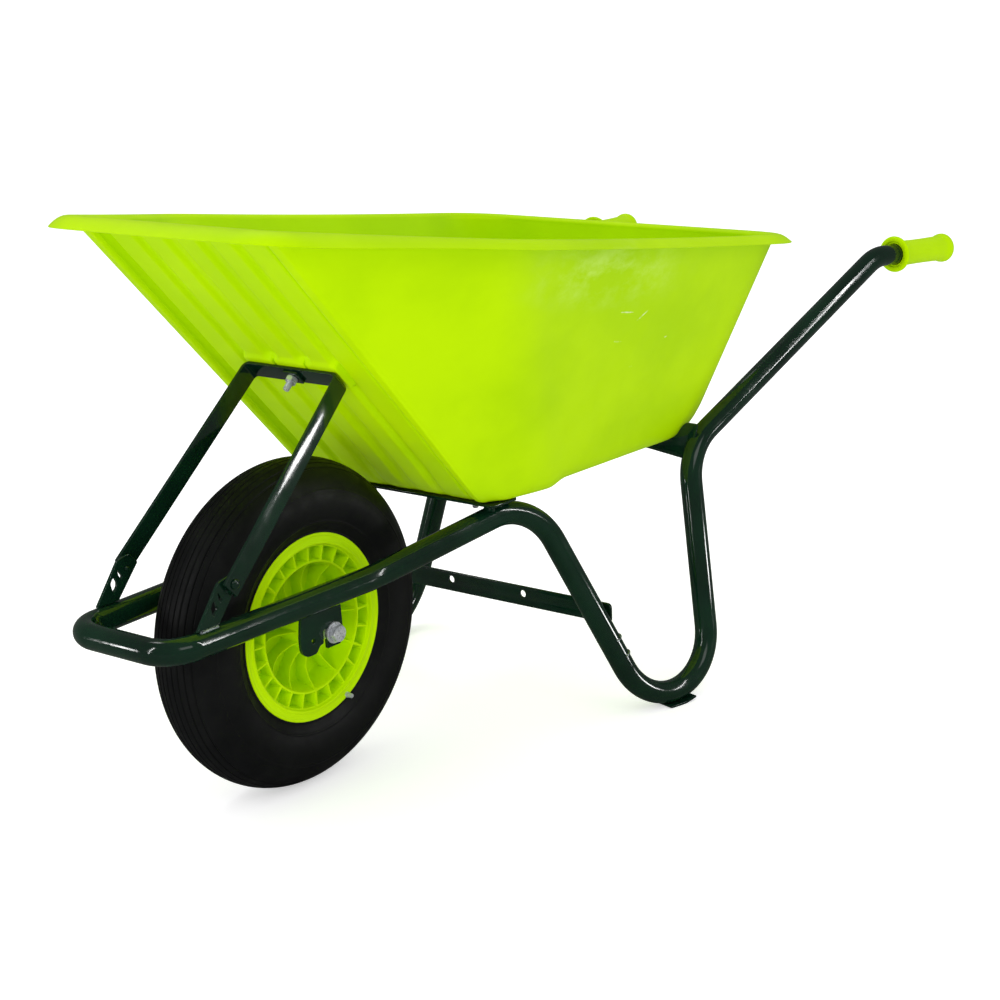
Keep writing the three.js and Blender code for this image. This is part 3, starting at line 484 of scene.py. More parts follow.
# ---- Tray ----
FLOOR = {"front": (200, 140), "side": (300, 165), "rear": (659, 182), "reaches": (6, 30, 90), "bulge": 0}
MOUTH = {"front": (-149, 153), "side": (116, 267), "rear": (717, 274), "reaches": (14, 40, 76), "bulge": 0}
LIP = {"front": (-175, 188), "side": (116, 290), "rear": (742, 297), "reaches": (60, 41, 100), "bulge": 14}
RIM_FRONT_Z, RIM_SLOPE, RIM_SAG = 697, -0.116, 5
FLOOR_FRONT_Z, FLOOR_SLOPE, PAD_DROP = 320.5, 0.0155, 7
LIP_DROP, MOUTH_DROP = 11, 7
NOSE_LIP_DROP = 0.4  # how much further the lip drops round the nose
TRAY_WALL, FLOOR_WALL = 5.5, 4.5
FLOOR_MIDDLE_X = 430
GROOVE_PITCH, GROOVE_DEPTH, RIDGE_DEPTH, SEAT_DEPTH = 50, 13.5, 8, 5
FRONT_SAMPLED = 140  # the grooved part of the front edge, from the middle
PAD_Z = (480, 506)
PAD_HALF = 23
SEAT_HALF = 73
FOLD_BEAD = 1.3


def smoothstep(value, low, high):
    t = np.clip((np.asarray(value, float) - low) / (high - low), 0, 1)
    return t * t * (3 - 2 * t)


def groove_depth(y):
    """How far the front wall lies inside the corner folds, across its width, with eased edges."""
    fine = np.arange(0, 170, 0.25)
    marks = [(0, RIDGE_DEPTH)]
    for i in range(3):
        middle = (i + 0.5) * GROOVE_PITCH * (1 - 0.01 * i)
        for offset, depth in ((-12, RIDGE_DEPTH), (-6, GROOVE_DEPTH), (6, GROOVE_DEPTH), (12, RIDGE_DEPTH)):
            marks.append((middle + offset * (1 - 0.25 * i), depth))
    marks = marks[:-1] + [(middle + 9, 0), (200, 0)]
    depth = np.interp(fine, *zip(*marks))
    both = np.concatenate([depth[::-1], depth])
    kernel = np.exp(-0.5 * (np.arange(-12, 13) / 5.5) ** 2)
    eased = np.convolve(both, kernel / kernel.sum(), mode="same")[len(depth):]
    return np.interp(np.abs(y), fine, eased)


def arc(start, corner, end, steps):
    t = np.linspace(0, 1, steps)[:, None]
    return (1 - t) ** 2 * start + 2 * t * (1 - t) * corner + t ** 2 * end


def corner_curve(before, corner, after, reach, steps):
    return arc(corner + unit(before - corner) * reach, corner, corner + unit(after - corner) * reach, steps)


STEPS = {"front": 100, "fold": 13, "cheek": 14, "side": 13, "flank": 26, "rear": 22, "back": 20}


def half_outline(level, inset=0.0):
    """Half of the tray's outline at one level, the same count of points at every level."""
    corners = [np.array([x, y - inset], float) for x, y in (level["front"], level["side"], level["rear"])]
    corners[0][0] += inset * 1.25
    corners[2][0] -= inset
    first, middle, last = corners
    limit = first[1] - level["reaches"][0]
    y = np.linspace(0, 1, STEPS["front"], endpoint=False) * min(FRONT_SAMPLED, limit - 1)
    bowed = lambda y: first[0] - level["bulge"] * (1 - (y / first[1]) ** 2)
    front = np.stack([bowed(y), y], axis=1)
    fold_end = first + unit(middle - first) * level["reaches"][0]
    fold = arc(np.array([bowed(limit), limit]), first, fold_end, STEPS["fold"])
    side = corner_curve(first, middle, last, level["reaches"][1], STEPS["side"])
    rear = corner_curve(middle, last, np.array([last[0], 0]), level["reaches"][2], STEPS["rear"])
    between = lambda a, b, n: a + (b - a) * np.linspace(0, 1, n + 2)[1:-1, None]
    cheek = between(fold[-1], side[0], STEPS["cheek"])
    flank = between(side[-1], rear[0], STEPS["flank"])
    back = between(rear[-1], np.array([last[0], 0.0]), STEPS["back"])
    return np.concatenate([front, fold, cheek, side, flank, rear, back])


FOLD_START = STEPS["front"]


def fold_bead(count, width=1.7):
    """A narrow raised line along the corner fold, as a height for each point of half an outline."""
    middle = FOLD_START + (STEPS["fold"] - 1) / 2
    return FOLD_BEAD * np.exp(-(((np.arange(count) - middle) / width) ** 2))


def rim_z(x):
    k = (x - LIP["front"][0]) / (LIP["rear"][0] - LIP["front"][0])
    return RIM_FRONT_Z + RIM_SLOPE * (x - LIP["front"][0]) - RIM_SAG * 4 * k * (1 - k)


def floor_z(x):
    pad = 1 - smoothstep(x, 305, 340)
    return FLOOR_FRONT_Z + FLOOR_SLOPE * (x - FLOOR["front"][0]) - PAD_DROP * pad


def floor_reach(x):
    front = 1 - smoothstep(x, FLOOR["front"][0], FLOOR["front"][0] + 40)
    rear = smoothstep(x, 560, FLOOR["rear"][0])
    return 24 + 26 * front + 40 * rear


def seated(depth, y, z):
    """The wall's depth with the nose brace's seat: three pads that step out, with shallow gaps between."""
    low, high = PAD_Z
    tall = smoothstep(z, low - 3, low) * (1 - smoothstep(z, high, high + 6))
    tall = tall * (1 - smoothstep(np.abs(y), SEAT_HALF, SEAT_HALF + 3))
    wide = np.zeros_like(y)
    for centre in (-0.995 * GROOVE_PITCH, 0, 0.995 * GROOVE_PITCH):
        wide = np.maximum(wide, 1 - smoothstep(np.abs(y - centre), PAD_HALF - 0.5, PAD_HALF + 1.5))
    seat = SEAT_DEPTH * wide + (RIDGE_DEPTH + 1) * (1 - wide)
    return depth * (1 - tall) + np.minimum(seat, depth) * tall


def pushed(points, depth):
    """Points of the sloping front wall moved into the tray."""
    push = (depth * math.sqrt(0.5))[:, None]
    return points + push * np.array([1.0, 0.0, 1.0])


def bowl_rings(inset, lift, bead_height):
    """Rings from the middle of the floor, round its edge and up the wall."""
    foot, head = half_outline(FLOOR, inset), half_outline(MOUTH, inset)
    count = len(foot)
    low = np.column_stack([foot, floor_z(foot[:, 0])])
    high = np.column_stack([head, rim_z(head[:, 0]) - MOUTH_DROP])
    edge = low + (high - low) * (lift / (high[:, 2] - low[:, 2]))[:, None]
    reach = floor_reach(foot[:, 0])
    middle = np.array([FLOOR_MIDDLE_X, 0.0])
    inner = foot + (middle - foot) * (reach / FLOOR_MIDDLE_X)[:, None]
    flat = np.column_stack([inner, edge[:, 2]])
    up = (high - edge) / np.linalg.norm(high - edge, axis=1, keepdims=True)
    start = edge + up * reach[:, None]
    grooves = np.zeros(count)
    grooves[:FOLD_START] = groove_depth(foot[:FOLD_START, 1])
    outward = np.column_stack([-np.ones(count), np.ones(count), np.zeros(count)]) * math.sqrt(0.5)
    bump = (fold_bead(count) * bead_height)[:, None] * outward
    rings = []
    for k in np.linspace(0.03, 1, 11):
        centre = np.array([FLOOR_MIDDLE_X, 0.0])
        spot = centre + (flat[:, :2] - centre) * k
        level = floor_z(spot[:, 0]) + lift
        rings.append(np.column_stack([spot, level * (1 - k ** 4) + flat[:, 2] * k ** 4]))
    for t in np.linspace(0, 1, 15)[1:]:
        curve = (1 - t) ** 2 * flat + 2 * t * (1 - t) * edge + t ** 2 * start
        rings.append(pushed(curve, grooves * t) + bump * t)
    heights = np.unique(np.concatenate([
        np.linspace(0, 1, 40),
        np.linspace(0.37, 0.48, 26),
        np.linspace(0.92, 1, 8),
    ]))
    for t in heights[1:]:
        wall = start + (high - start) * t
        fade = 1 - 0.75 * smoothstep(t, 0.955, 1.0)
        depth = seated(grooves * fade, wall[:, 1], wall[:, 2])
        rings.append(pushed(wall, depth) + bump * (1 - smoothstep(t, 0.97, 1.0)))
    return rings


# The rim's section: how far from the mouth (0) to the lip (1), and how far below the top.
RIM_OUTSIDE = [(0.01, 6.3), (0.04, 5.5), (0.10, 5.1), (0.30, 5.0), (0.55, 5.1), (0.70, 5.8), (0.79, 7.4),
               (0.83, 9.6), (0.855, 10.9), (0.90, 11.3), (0.96, 11.2), (0.995, 10.6)]


def rim_top():
    """From the lip's edge, up its rounded slope and down into the mouth."""
    slope = [(0.22 + 0.78 * t, LIP_DROP * 0.93 * t ** 1.75) for t in np.linspace(1, 0, 16)]
    return slope + [(0.12, 0.1), (0.03, 0.5), (-0.06, 1.3), (-0.14, 2.6), (-0.19, 4.2), (-0.22, 5.6)]


def rim_rings():
    mouth, lip = half_outline(MOUTH), half_outline(LIP)
    rings = []
    for across, drop in RIM_OUTSIDE + rim_top():
        spot = mouth + (lip - mouth) * across
        deeper = 1 + NOSE_LIP_DROP * (1 - smoothstep(spot[:, 0], -150, 60)) * max(across, 0)
        rings.append(np.column_stack([spot, rim_z(spot[:, 0]) - drop * deeper]))
    return rings


def whole_ring(half):
    """A half ring and its mirror image, as one closed ring."""
    other = half[1:][::-1] * np.array([1, -1, 1])
    return np.concatenate([half, other])


def tray():
    outside = bowl_rings(0, 0, 1.0)
    inside = bowl_rings(TRAY_WALL, FLOOR_WALL, 0.0)
    rings = [*outside, *rim_rings(), *inside[::-1]]
    return loft([whole_ring(r) for r in rings])


# ---- Frame tube ----
def frame_corners(side):
    """A side's corners from the handle to the nose. The tube ends inside the grip."""
    inside = np.array(TIP) - 10 * unit(np.array(TIP) - np.array(WRIST))
    return [on_side(c, side) for c in (inside, WRIST, SHOULDER, GROUND, CREST, KNEE, NOSE)]


def frame_tube():
    corners = frame_corners(-1) + frame_corners(1)[::-1]
    half = [BENDS[k] for k in ("wrist", "shoulder", "ground", "crest", "knee", "nose")]
    path = route(corners, half + half[::-1])
    return sweep(circle_outline(TUBE_R, steps=40), path)


def grip():
    """Turned about Y: a thick flange round the tube, a waisted body and a bulged, domed end."""
    bore, body, flange, end, length = TUBE_R + 0.4, GRIP_R, FLANGE_R, GRIP_END_R, GRIP_LENGTH
    profile = [(0, 17), (bore, 16), (bore, 3.2), (bore + 0.5, 2.6), (body + 0.1, 2.4), (body + 0.7, 1.8)]
    profile += [(body + 1.1, 0.6), (body + 1.9, 0.1), (flange - 3, 0), (flange - 1.4, 0.5)]
    profile += [(flange - 0.4, 1.6), (flange, 3.2), (flange - 0.3, 4.9), (flange - 1.6, 6.2)]
    profile += [(flange - 4.2, 7.0), (body + 2.4, 7.8), (body + 1.4, 9.4), (body + 0.9, 12)]
    profile += [(body + 0.8 * (2 * k - 1) ** 2, 12 + (length - 32) * k) for k in np.linspace(0.03, 1, 24)]
    profile += [(body + 1.3, length - 17.5), (end - 1.2, length - 15)]
    profile += [(end - 0.4, length - 12.5), (end, length - 9.5)]
    profile += [(end * math.cos(a) ** 0.55, length - 8 + 8 * math.sin(a)) for a in np.linspace(0.12, 1.5, 10)]
    return lathe(profile + [(0, length)], 64)


# ---- Nose brace ----
def brace_direction():
    return unit([BRACE_TOP[0] - BRACE_FOOT[0], 0, BRACE_TOP[2] - BRACE_FOOT[2]])


def brace_flat():
    return unit(np.cross(brace_direction(), [0, 1, 0]))


def nose_brace():
    corners = [on_side(BRACE_FOOT, -1), on_side(BRACE_TOP, -1), on_side(BRACE_TOP, 1), on_side(BRACE_FOOT, 1)]
    section = rectangle(BRACE_WIDTH, BRACE_THICK, 0.8, 4)
    return sweep(section, route(corners, [7, 7], math.radians(6)), brace_flat())


def brace_tab(side):
    """An upright plate that stands on the nose, with two ragged keyholes."""
    outline = rounded([(-224, 266.4), (-192, 267.1), (-160, 304.5), (-172, 317.5), (-189, 313.5)], 1.5, 4)
    low = [(-199, 278), (-195, 281), (-193, 284), (-192.5, 288), (-195.5, 295), (-199, 294), (-202, 289)]
    low.append((-201, 284))
    high = [(-187, 290.5), (-184, 293.5), (-187, 298), (-191, 303.5), (-190, 297)]
    flat = plate(outline, [rounded(low, 1.2, 3), rounded(high, 1.2, 3)], TAB_THICK, 0.5)
    return moved(flat, UPRIGHT, (0, side * tab_middle(), 0))


def tab_middle():
    """How far the middle of a tab's thickness lies from the middle plane."""
    return BRACE_FOOT[1] - BRACE_THICK / 2 - GAP - TAB_THICK


# ---- Fasteners, made along Y ----
def hex_part(across_flats, height, bore, chamfer=0.9):
    """A hexagon with chamfered corners and a countersunk bore."""
    angles = np.linspace(0, 2 * math.pi, 72, endpoint=False)
    flat = across_flats / 2
    within = (angles + math.pi / 6) % (math.pi / 3) - math.pi / 6
    hexagon = flat / np.cos(within)
    ring = lambda r, y: np.stack([r * np.cos(angles), np.full(len(angles), y), r * np.sin(angles)], axis=1)
    clipped = np.minimum(hexagon, flat * 1.02)
    one = np.ones(len(angles))
    rings = [
        ring(bore * one, 0.6), ring((bore + 0.6) * one, 0), ring(clipped, 0), ring(hexagon, chamfer),
        ring(hexagon, height - chamfer), ring(clipped, height), ring((bore + 0.6) * one, height),
        ring(bore * one, height - 0.6),
    ]
    return torus_loft(rings)


def thread(radius, start, end, pitch=1.25):
    """A threaded shank as closely spaced rings, with a chamfered tip at the start."""
    profile = [(0, start), (radius - 1.2, start), (radius - 0.5, start + 0.8)]
    y = start + 0.8
    while y < end - pitch:
        profile += [(radius, y + pitch * 0.35), (radius - 0.55, y + pitch * 0.85)]
        y += pitch
    return lathe(profile + [(radius - 0.2, end), (0, end)], 24)


def dome_head(radius, height):
    """A domed head on the origin's plane."""
    arc = [(radius * math.cos(a), height * (0.12 + 0.88 * math.sin(a))) for a in np.linspace(0, 1.45, 12)]
    return lathe([(0, 0), (radius - 0.4, 0), (radius, 0.3)] + arc + [(0, height)], 40)


def bolt(length, radius=4, head=9, height=4):
    return merge([dome_head(head, height), thread(radius, -length, 0.2)])


def placed(part, at, direction):
    return moved(part, along_y(direction), at)


def washer(outer, inner, thick):
    edge = 0.35
    profile = [(inner, edge), (inner + edge, 0), (outer - edge, 0), (outer, edge), (outer, thick - edge),
               (outer - edge, thick), (inner + edge, thick), (inner, thick - edge)]
    return lathe(profile, 48)


# ---- Axle plates and axle ----
PLATE_INNER_Y, PLATE_THICK, AXLE_R, SLEEVE_R = 64.5, 5, 6, 10
WASHER_THICK, AXLE_HEX = 2.5, 19


def axle_plate_outline():
    slot = AXLE_R + GAP
    mouth = [(slot * math.cos(a), slot * math.sin(a)) for a in np.linspace(math.pi / 2, -math.pi / 2, 13)]
    before = rounded([(17, 34), (-52, 32), (-55, 6), (-54, -10, 9), (-46, -18, 5), (-29, -18, 4),
                      (-24, -10, 4), (-17, -9, 2), (-17, slot, 2)], 3, 4)
    after = [(-11, -slot), (-10, -17), (11, -17), (13.5, -13), (17, -6)]
    return np.concatenate([before, np.array(mouth), np.array(after, float)])


def axle_plate(side):
    flat = plate(axle_plate_outline(), [circle_outline(3, (-34, -1))], PLATE_THICK, 0.6)
    return moved(flat, UPRIGHT, (0, side * (PLATE_INNER_Y + PLATE_THICK / 2), WHEEL_R))


# ---- Wheel ----
HUB_R, HUB_HALF, BUSH_R = 24, 45, 15
POCKETS, RIBS = 24, 12
RIM_R = 115


def rim_height(r, angle):
    """How far one face of the rim stands from the middle plane, over its radius and angle."""
    hub = HUB_HALF - 37 * smoothstep(r, HUB_R - 0.5, HUB_R + 3.5)
    wall = 30 * smoothstep(r, 70, 79)
    base = hub - 2 * smoothstep(r, 28, 60) + wall
    flange = 3.6 * smoothstep(r, 98.5, 101)
    flange = flange - 0.9 * smoothstep(r, 103, 105) + 0.9 * smoothstep(r, 109.5, 111.5)
    face = base + flange - 2.6 * smoothstep(r, 113.2, RIM_R)
    rib_step = 2 * math.pi / RIBS
    off_rib = np.abs((angle + rib_step / 2) % rib_step - rib_step / 2) * r
    crest = 21.5 + 13 * ((r - 51) / 27) ** 2
    in_dish = smoothstep(r, HUB_R - 2, HUB_R + 1) * (1 - smoothstep(r, 77, 79))
    rib = (1 - smoothstep(off_rib, 0.9, 2.2)) * in_dish
    face = np.maximum(face, face + (crest - face) * rib * (crest > face))
    pocket_step = 2 * math.pi / POCKETS
    off_wall = np.abs((angle + pocket_step / 2) % pocket_step - pocket_step / 2) * r
    inside = smoothstep(off_wall, 1.5, 3.0) * smoothstep(r, 80.8, 82.3) * (1 - smoothstep(r, 96.2, 97.8))
    return face - 16 * inside


def rim_radii():
    """Radii close together at each step in the face."""
    fine = [np.arange(low, high, 0.5) for low, high in ((23, 29), (69.5, 84), (95.5, 106), (109, RIM_R + 0.01))]
    coarse = [[BUSH_R + GAP, 17, 20], np.arange(31, 69, 2.5), np.arange(85, 95, 2)]
    return np.unique(np.concatenate(fine + coarse))


def rim():
    """Both faces as fields of height, joined round the rim's outer well."""
    radii = rim_radii()
    steps = 24 * 26
    angles = np.linspace(0, 2 * math.pi, steps, endpoint=False)
    ring = lambda r, y: np.stack([r * np.cos(angles), y, WHEEL_R + r * np.sin(angles)], axis=1)
    near = [ring(r, -rim_height(r, angles)) for r in radii]
    well = [(RIM_R, -37.9), (114.4, -37.5), (102.6, -37.3), (101.6, -36.6), (101, -34), (99.4, -21)]
    well.append((99.2, -18))
    well_both = well + [(r, -y) for r, y in reversed(well)]
    one = np.ones(steps)
    barrel = [ring(r, y * one) for r, y in well_both]
    far = [ring(r, rim_height(r, angles)) for r in radii[::-1]]
    return torus_loft(near + barrel + far)


def tread_groove(y):
    """Fine grooves round the tread."""
    pitch, half_width, depth = 7.4, 1.0, 1.5
    off = np.abs((y + pitch / 2) % pitch - pitch / 2)
    return depth * (1 - smoothstep(off, half_width * 0.35, half_width)) * (1 - smoothstep(np.abs(y), 29, 32))


def tyre():
    """A round carcass with ribs on its tread, raised rings by the bead, and open towards the rim."""
    belly, half = 152.0, 48.0
    angles = np.radians(np.linspace(-128, 128, 361))
    r = belly + (WHEEL_R - belly) * np.cos(angles)
    y = half * np.sin(angles)
    r = r - tread_groove(y) * (np.cos(angles) > 0)
    low = np.cos(angles) < 0
    r[low] = belly + (belly - 116.5) * np.cos(angles[low]) / math.cos(math.radians(52))
    ring = 0.7 * np.exp(-(((r - 128) / 1.2) ** 2)) * low + 0.5 * np.exp(-(((r - 166) / 1.0) ** 2))
    outer = list(zip(r, y * (1 + ring / half)))
    bead_side = [(117.0, 38.6), (108, 38.3), (103.2, 37.6), (102.4, 36.4), (102.4, 28), (104, 27), (112, 32),
                 (140, 40.5), (166, 36), (184, 22), (189.5, 0)]
    inner = bead_side + [(q, -w) for q, w in reversed(bead_side[:-1])]
    profile = outer + inner
    return moved(lathe(profile, 240), None, (0, 0, WHEEL_R))


def hub_bush(side):
    y0, y1 = HUB_HALF - 26, HUB_HALF + 4
    bore, edge = SLEEVE_R + 0.1, 0.6
    profile = [(bore, y0 + edge), (bore + edge, y0), (BUSH_R - edge, y0), (BUSH_R, y0 + edge)]
    profile += [(BUSH_R, y1 - edge), (BUSH_R - edge, y1), (bore + edge, y1), (bore, y1 - edge)]
    flip = np.diag([1, side, 1])
    return moved(lathe(profile, 64), flip, (0, 0, WHEEL_R))


def valve():
    """The valve's stem and cap, which come out beside the rim's flange."""
    cap = [(0, 0), (2.4, 0), (2.9, 0.5), (2.9, 5.2), (2.2, 6.2), (0, 6.4)]
    stem = [(0, -6), (3.8, -6), (3.8, -1), (3.0, 0.2), (0, 0.3)]
    return merge([lathe(cap, 20), lathe(stem, 24)])


# ---- Members under the tray ----
def front_bar_top():
    return float(floor_z(FRONT_BAR_X - 25)) - GAP


def front_cross_bar():
    outline = rectangle(50, 292, 6, 5)
    holes = [circle_outline(4.5, (TRAY_BOLTS[0][0] - FRONT_BAR_X, s * TRAY_BOLTS[0][1])) for s in (-1, 1)]
    return moved(plate(outline, holes, BAR_THICK), None, (FRONT_BAR_X, 0, front_bar_top() - BAR_THICK / 2))


def bar_saddle(side):
    """A comb of three feet between the cross bar and the tube's crest."""
    top = front_bar_top() - BAR_THICK - GAP
    feet = [(-17.5, -9), (-12.5, -9), (-12, -3), (-3, -3), (-2.5, -7)]
    feet += [(2.5, -7), (3, -3), (12, -3), (12.5, -9), (17.5, -10)]
    outline = rounded([(-18, 0), *feet, (18, 0)], 1.2, 3)
    return moved(plate(outline, [], 14, 0.5), UPRIGHT, (FRONT_BAR_X + 6, side * 127, top))


def rear_cross_member():
    """A pressed web with a shelf under the tray and a horn up to each tube."""
    under = float(floor_z(REAR_BAR_X)) - 0.7
    half = [(118, 309, 20), (187, 300, 4), (200, 303, 4), (211, 350.5, 4), (192, 350.5, 5), (186, 345, 5),
            (177, 333, 6), (168, under + 0.8, 3), (152, under - 1, 2)]
    mirrored = [(-y, z, r) for y, z, r in reversed(half)]
    web = plate(rounded(half + mirrored, 4, 5), [], BAR_THICK, 0.7)
    upright = moved(web, CROSSWISE, (REAR_BAR_X + BAR_THICK / 2, 0, 0))
    holes = [circle_outline(4.5, (TRAY_BOLTS[1][0] - REAR_BAR_X - 15, s * 90)) for s in (-1, 1)]
    shelf = plate(rectangle(32, 290, 5, 4), holes, BAR_THICK, 0.6)
    return merge([upright, moved(shelf, None, (REAR_BAR_X + 15, 0, under - 1 - BAR_THICK / 2))])


def leg_brace():
    """A flat bar across the two front legs, with two holes."""
    outline = rectangle(407, 27, 7, 6)
    holes = [circle_outline(5, (s * 61, 3)) for s in (-1, 1)]
    return moved(plate(outline, holes, 4, 0.7), CROSSWISE, (379, 0, 138.5))


def low_point(side):
    """The lowest point of a leg's centre line and the level direction there."""
    path, tangents = route([on_side(CREST, side), on_side(GROUND, side), on_side(SHOULDER, side)],
                           [BENDS["ground"]], math.radians(0.5))
    lowest = int(np.argmin(path[:, 2]))
    return path[lowest], unit([tangents[lowest][0], tangents[lowest][1], 0])


def foot_skid(side):
    point, along = low_point(side)
    thick = 3
    outline = [(-15, 0.3), (-7, 0), (13, 0), (31, 4.6)]
    outline += [(30, 4.6 + thick), (12, thick), (-7, thick), (-15, thick)]
    flat = plate(rounded(outline, 1.5, 4), [], 30, 0.5)
    turn = basis(along, (0, 0, 1), np.cross(along, (0, 0, 1)))
    return moved(flat, turn, (point[0], point[1], 0))


# ---- Welds ----
def line_between(a, b, steps=12):
    return np.array([np.asarray(a, float) + (np.asarray(b, float) - np.asarray(a, float)) * t
                     for t in np.linspace(0, 1, steps)])


def around_tube(centre, tangent, start, end, steps=20):
    """Part of a ring round a tube, between two angles from straight up."""
    tangent = unit(tangent)
    up = unit(np.array([0, 0, 1.0]) - tangent * tangent[2])
    side = np.cross(tangent, up)
    angles = np.radians(np.linspace(start, end, steps))
    return np.array([centre + (TUBE_R + 0.4) * (up * math.cos(a) + side * math.sin(a)) for a in angles])


def rail_at(x, side):
    """The centre of the side rail at one station, before its crest."""
    a, b, c = (on_side(p, side) for p in (NOSE, KNEE, CREST))
    first, second = (a, b) if x < KNEE[0] else (b, c)
    return first + (second - first) * (x - first[0]) / (second[0] - first[0])


LEG_WELDS_X = (373, 381)


def welds(side):
    """Beads under the axle plate, at the tab's foot and by the leg brace."""
    parts = []
    for y in (PLATE_INNER_Y - 1, PLATE_INNER_Y + PLATE_THICK + 1):
        ends = [rail_at(x, side) + np.array([0, 0, -TUBE_R * 0.82]) for x in (-50, 15)]
        for end in ends:
            end[1] = side * y
        parts.append(bead(line_between(*ends), 2.0))
    foot = [rail_at(x, side) + np.array([0, 0, TUBE_R - 0.5]) for x in (-221, -193)]
    for end in foot:
        end[1] = side * (tab_middle() + 2.5)
    parts.append(bead(line_between(*foot), 2.2))
    crest, down = on_side(CREST, side), on_side(GROUND, side) - on_side(CREST, side)
    for x in LEG_WELDS_X:
        centre = crest + down * (x - CREST[0]) / (GROUND[0] - CREST[0])
        parts.append(bead(around_tube(centre, down, -60, 60), 1.6))
    return merge(parts)


# ---- Put together ----
FRAME_NODES = ["nose_tube"] + [f"{n}_{s}" for n in ("side_rail", "leg_tube", "handle_tube") for s, _ in SIDES]


def cut_holes(obj, holes):
    """Round holes through a piece, each an (at, direction, radius)."""
    for i, (at, direction, radius) in enumerate(holes):
        part = placed(lathe([(0, -20), (radius, -20), (radius, 20), (0, 20)], 28), at, direction)
        cutter = mesh_object(f"cutter_{i}", *part)
        modifier = obj.modifiers.new("hole", "BOOLEAN")
        modifier.object = cutter
        modifier.operation = "DIFFERENCE"
        modifier.solver = "EXACT"
    depsgraph = bpy.context.evaluated_depsgraph_get()
    mesh = bpy.data.meshes.new_from_object(obj.evaluated_get(depsgraph))
    cutters = [m.object for m in obj.modifiers]
    obj.modifiers.clear()
    obj.data = mesh
    for cutter in cutters:
        bpy.data.objects.remove(cutter)


def build_tray():
    material, slot = LOOKS["lime_tray"]
    obj = mesh_object("tray_shell", *tray(), 38)
    holes = [((x, s * y, float(floor_z(x))), (0, 0, 1), BOLT_HOLE_R) for x, y in TRAY_BOLTS for s in (-1, 1)]
    holes.append((BRACE_MIDDLE + brace_direction() * 10, brace_direction(), BOLT_HOLE_R))
    cut_holes(obj, holes)
    return finish_piece(obj, material, "barrow", ["tray"])


def build_fasteners():
    into = brace_direction()
    piece("brace_bolt_detail", placed(bolt(32), BRACE_MIDDLE + into * 8.6, into), "zinc", ["brace_bolt"])
    clip = plate(rectangle(20, 24, 3, 4), [circle_outline(BOLT_HOLE_R)], 3)
    turn = basis(brace_flat(), (0, 1, 0), np.cross(brace_flat(), (0, 1, 0)))
    piece("brace_clip_detail", moved(clip, turn, BRACE_MIDDLE - into * 3.8), "paint", ["brace_clip"])
    under_clip = BRACE_THICK / 2 + 2 * GAP + 3
    nut = placed(hex_part(NUT_HEX, NUT_HEIGHT, NUT_BORE), BRACE_MIDDLE - into * (under_clip + NUT_HEIGHT), into)
    piece("brace_nut_detail", nut, "zinc", ["brace_nut"])
    for (x, y), end in zip(TRAY_BOLTS, ("front", "rear")):
        below = BAR_THICK + (1 if end == "rear" else 0)
        for label, side in SIDES:
            head = (x, side * y, float(floor_z(x)) + FLOOR_WALL + 0.9)
            name = f"tray_bolt_{end}_{label}"
            piece(name + "_detail", placed(bolt(24), head, (0, 0, 1)), "zinc", [name])
            base = (x, side * y, float(floor_z(x)) - below - 8.5)
            name = f"tray_nut_{end}_{label}"
            nut = placed(hex_part(NUT_HEX, NUT_HEIGHT, NUT_BORE), base, (0, 0, 1))
            piece(name + "_detail", nut, "zinc", [name])
    for label, side in SIDES:
        at = on_side(BRACE_FOOT, side) + into * 9 + np.array([0, side * 2.1, 0])
        screw = placed(dome_head(6, 3.3), at, (0, side, 0))
        piece(f"tab_screw_{label}_detail", screw, "paint", [f"tab_screw_{label}"])
        inner = at + np.array([0, -side * 4.6, 0]) - into * 10
        end = placed(merge([thread(2.4, -9, 0, 1.0), moved(hex_part(8, 3, 2.4, 0.5), None, (0, -4.4, 0))]),
                     inner, (0, side, 0))
        piece(f"tab_screw_end_{label}", end, "paint")


def build_axle():
    outer = PLATE_INNER_Y + PLATE_THICK
    head_y = outer + WASHER_THICK + 2 * GAP
    centre = (0, 0, WHEEL_R)
    rod = AXLE_R - 0.05
    ends = [(0, -head_y - 1), (rod, -head_y - 1), (rod, head_y + 0.5), (5.6, head_y + 0.8), (0, head_y + 1)]
    shank = lathe(ends, 40)
    tip = placed(thread(5.9, -head_y - 14, -head_y - 0.2, 1.75), (0, 0, 0), (0, -1, 0))
    head = placed(hex_part(AXLE_HEX, 7.5, 0.5, 1.4), (0, -head_y, 0), (0, -1, 0))
    piece("axle_bolt_detail", moved(merge([shank, tip, head]), None, centre), "zinc", ["axle_bolt"])
    nut = moved(hex_part(AXLE_HEX, 10, 6.1, 1.4), None, (0, head_y, WHEEL_R))
    piece("axle_nut_detail", nut, "zinc", ["axle_nut"])
    half, bore = PLATE_INNER_Y - GAP, AXLE_R + GAP
    sleeve = [(bore, -half), (SLEEVE_R, -half), (SLEEVE_R, half), (bore, half)]
    piece("axle_sleeve_detail", moved(lathe(sleeve, 64), None, centre), "zinc", ["axle_sleeve"])
    for label, side in SIDES:
        ring = moved(washer(13, bore, WASHER_THICK), np.diag([1, side, 1]), (0, side * (outer + GAP), WHEEL_R))
        piece(f"axle_washer_{label}_detail", ring, "zinc", [f"axle_washer_{label}"])
        piece(f"axle_plate_{label}_detail", axle_plate(side), "paint", [f"axle_plate_{label}"])


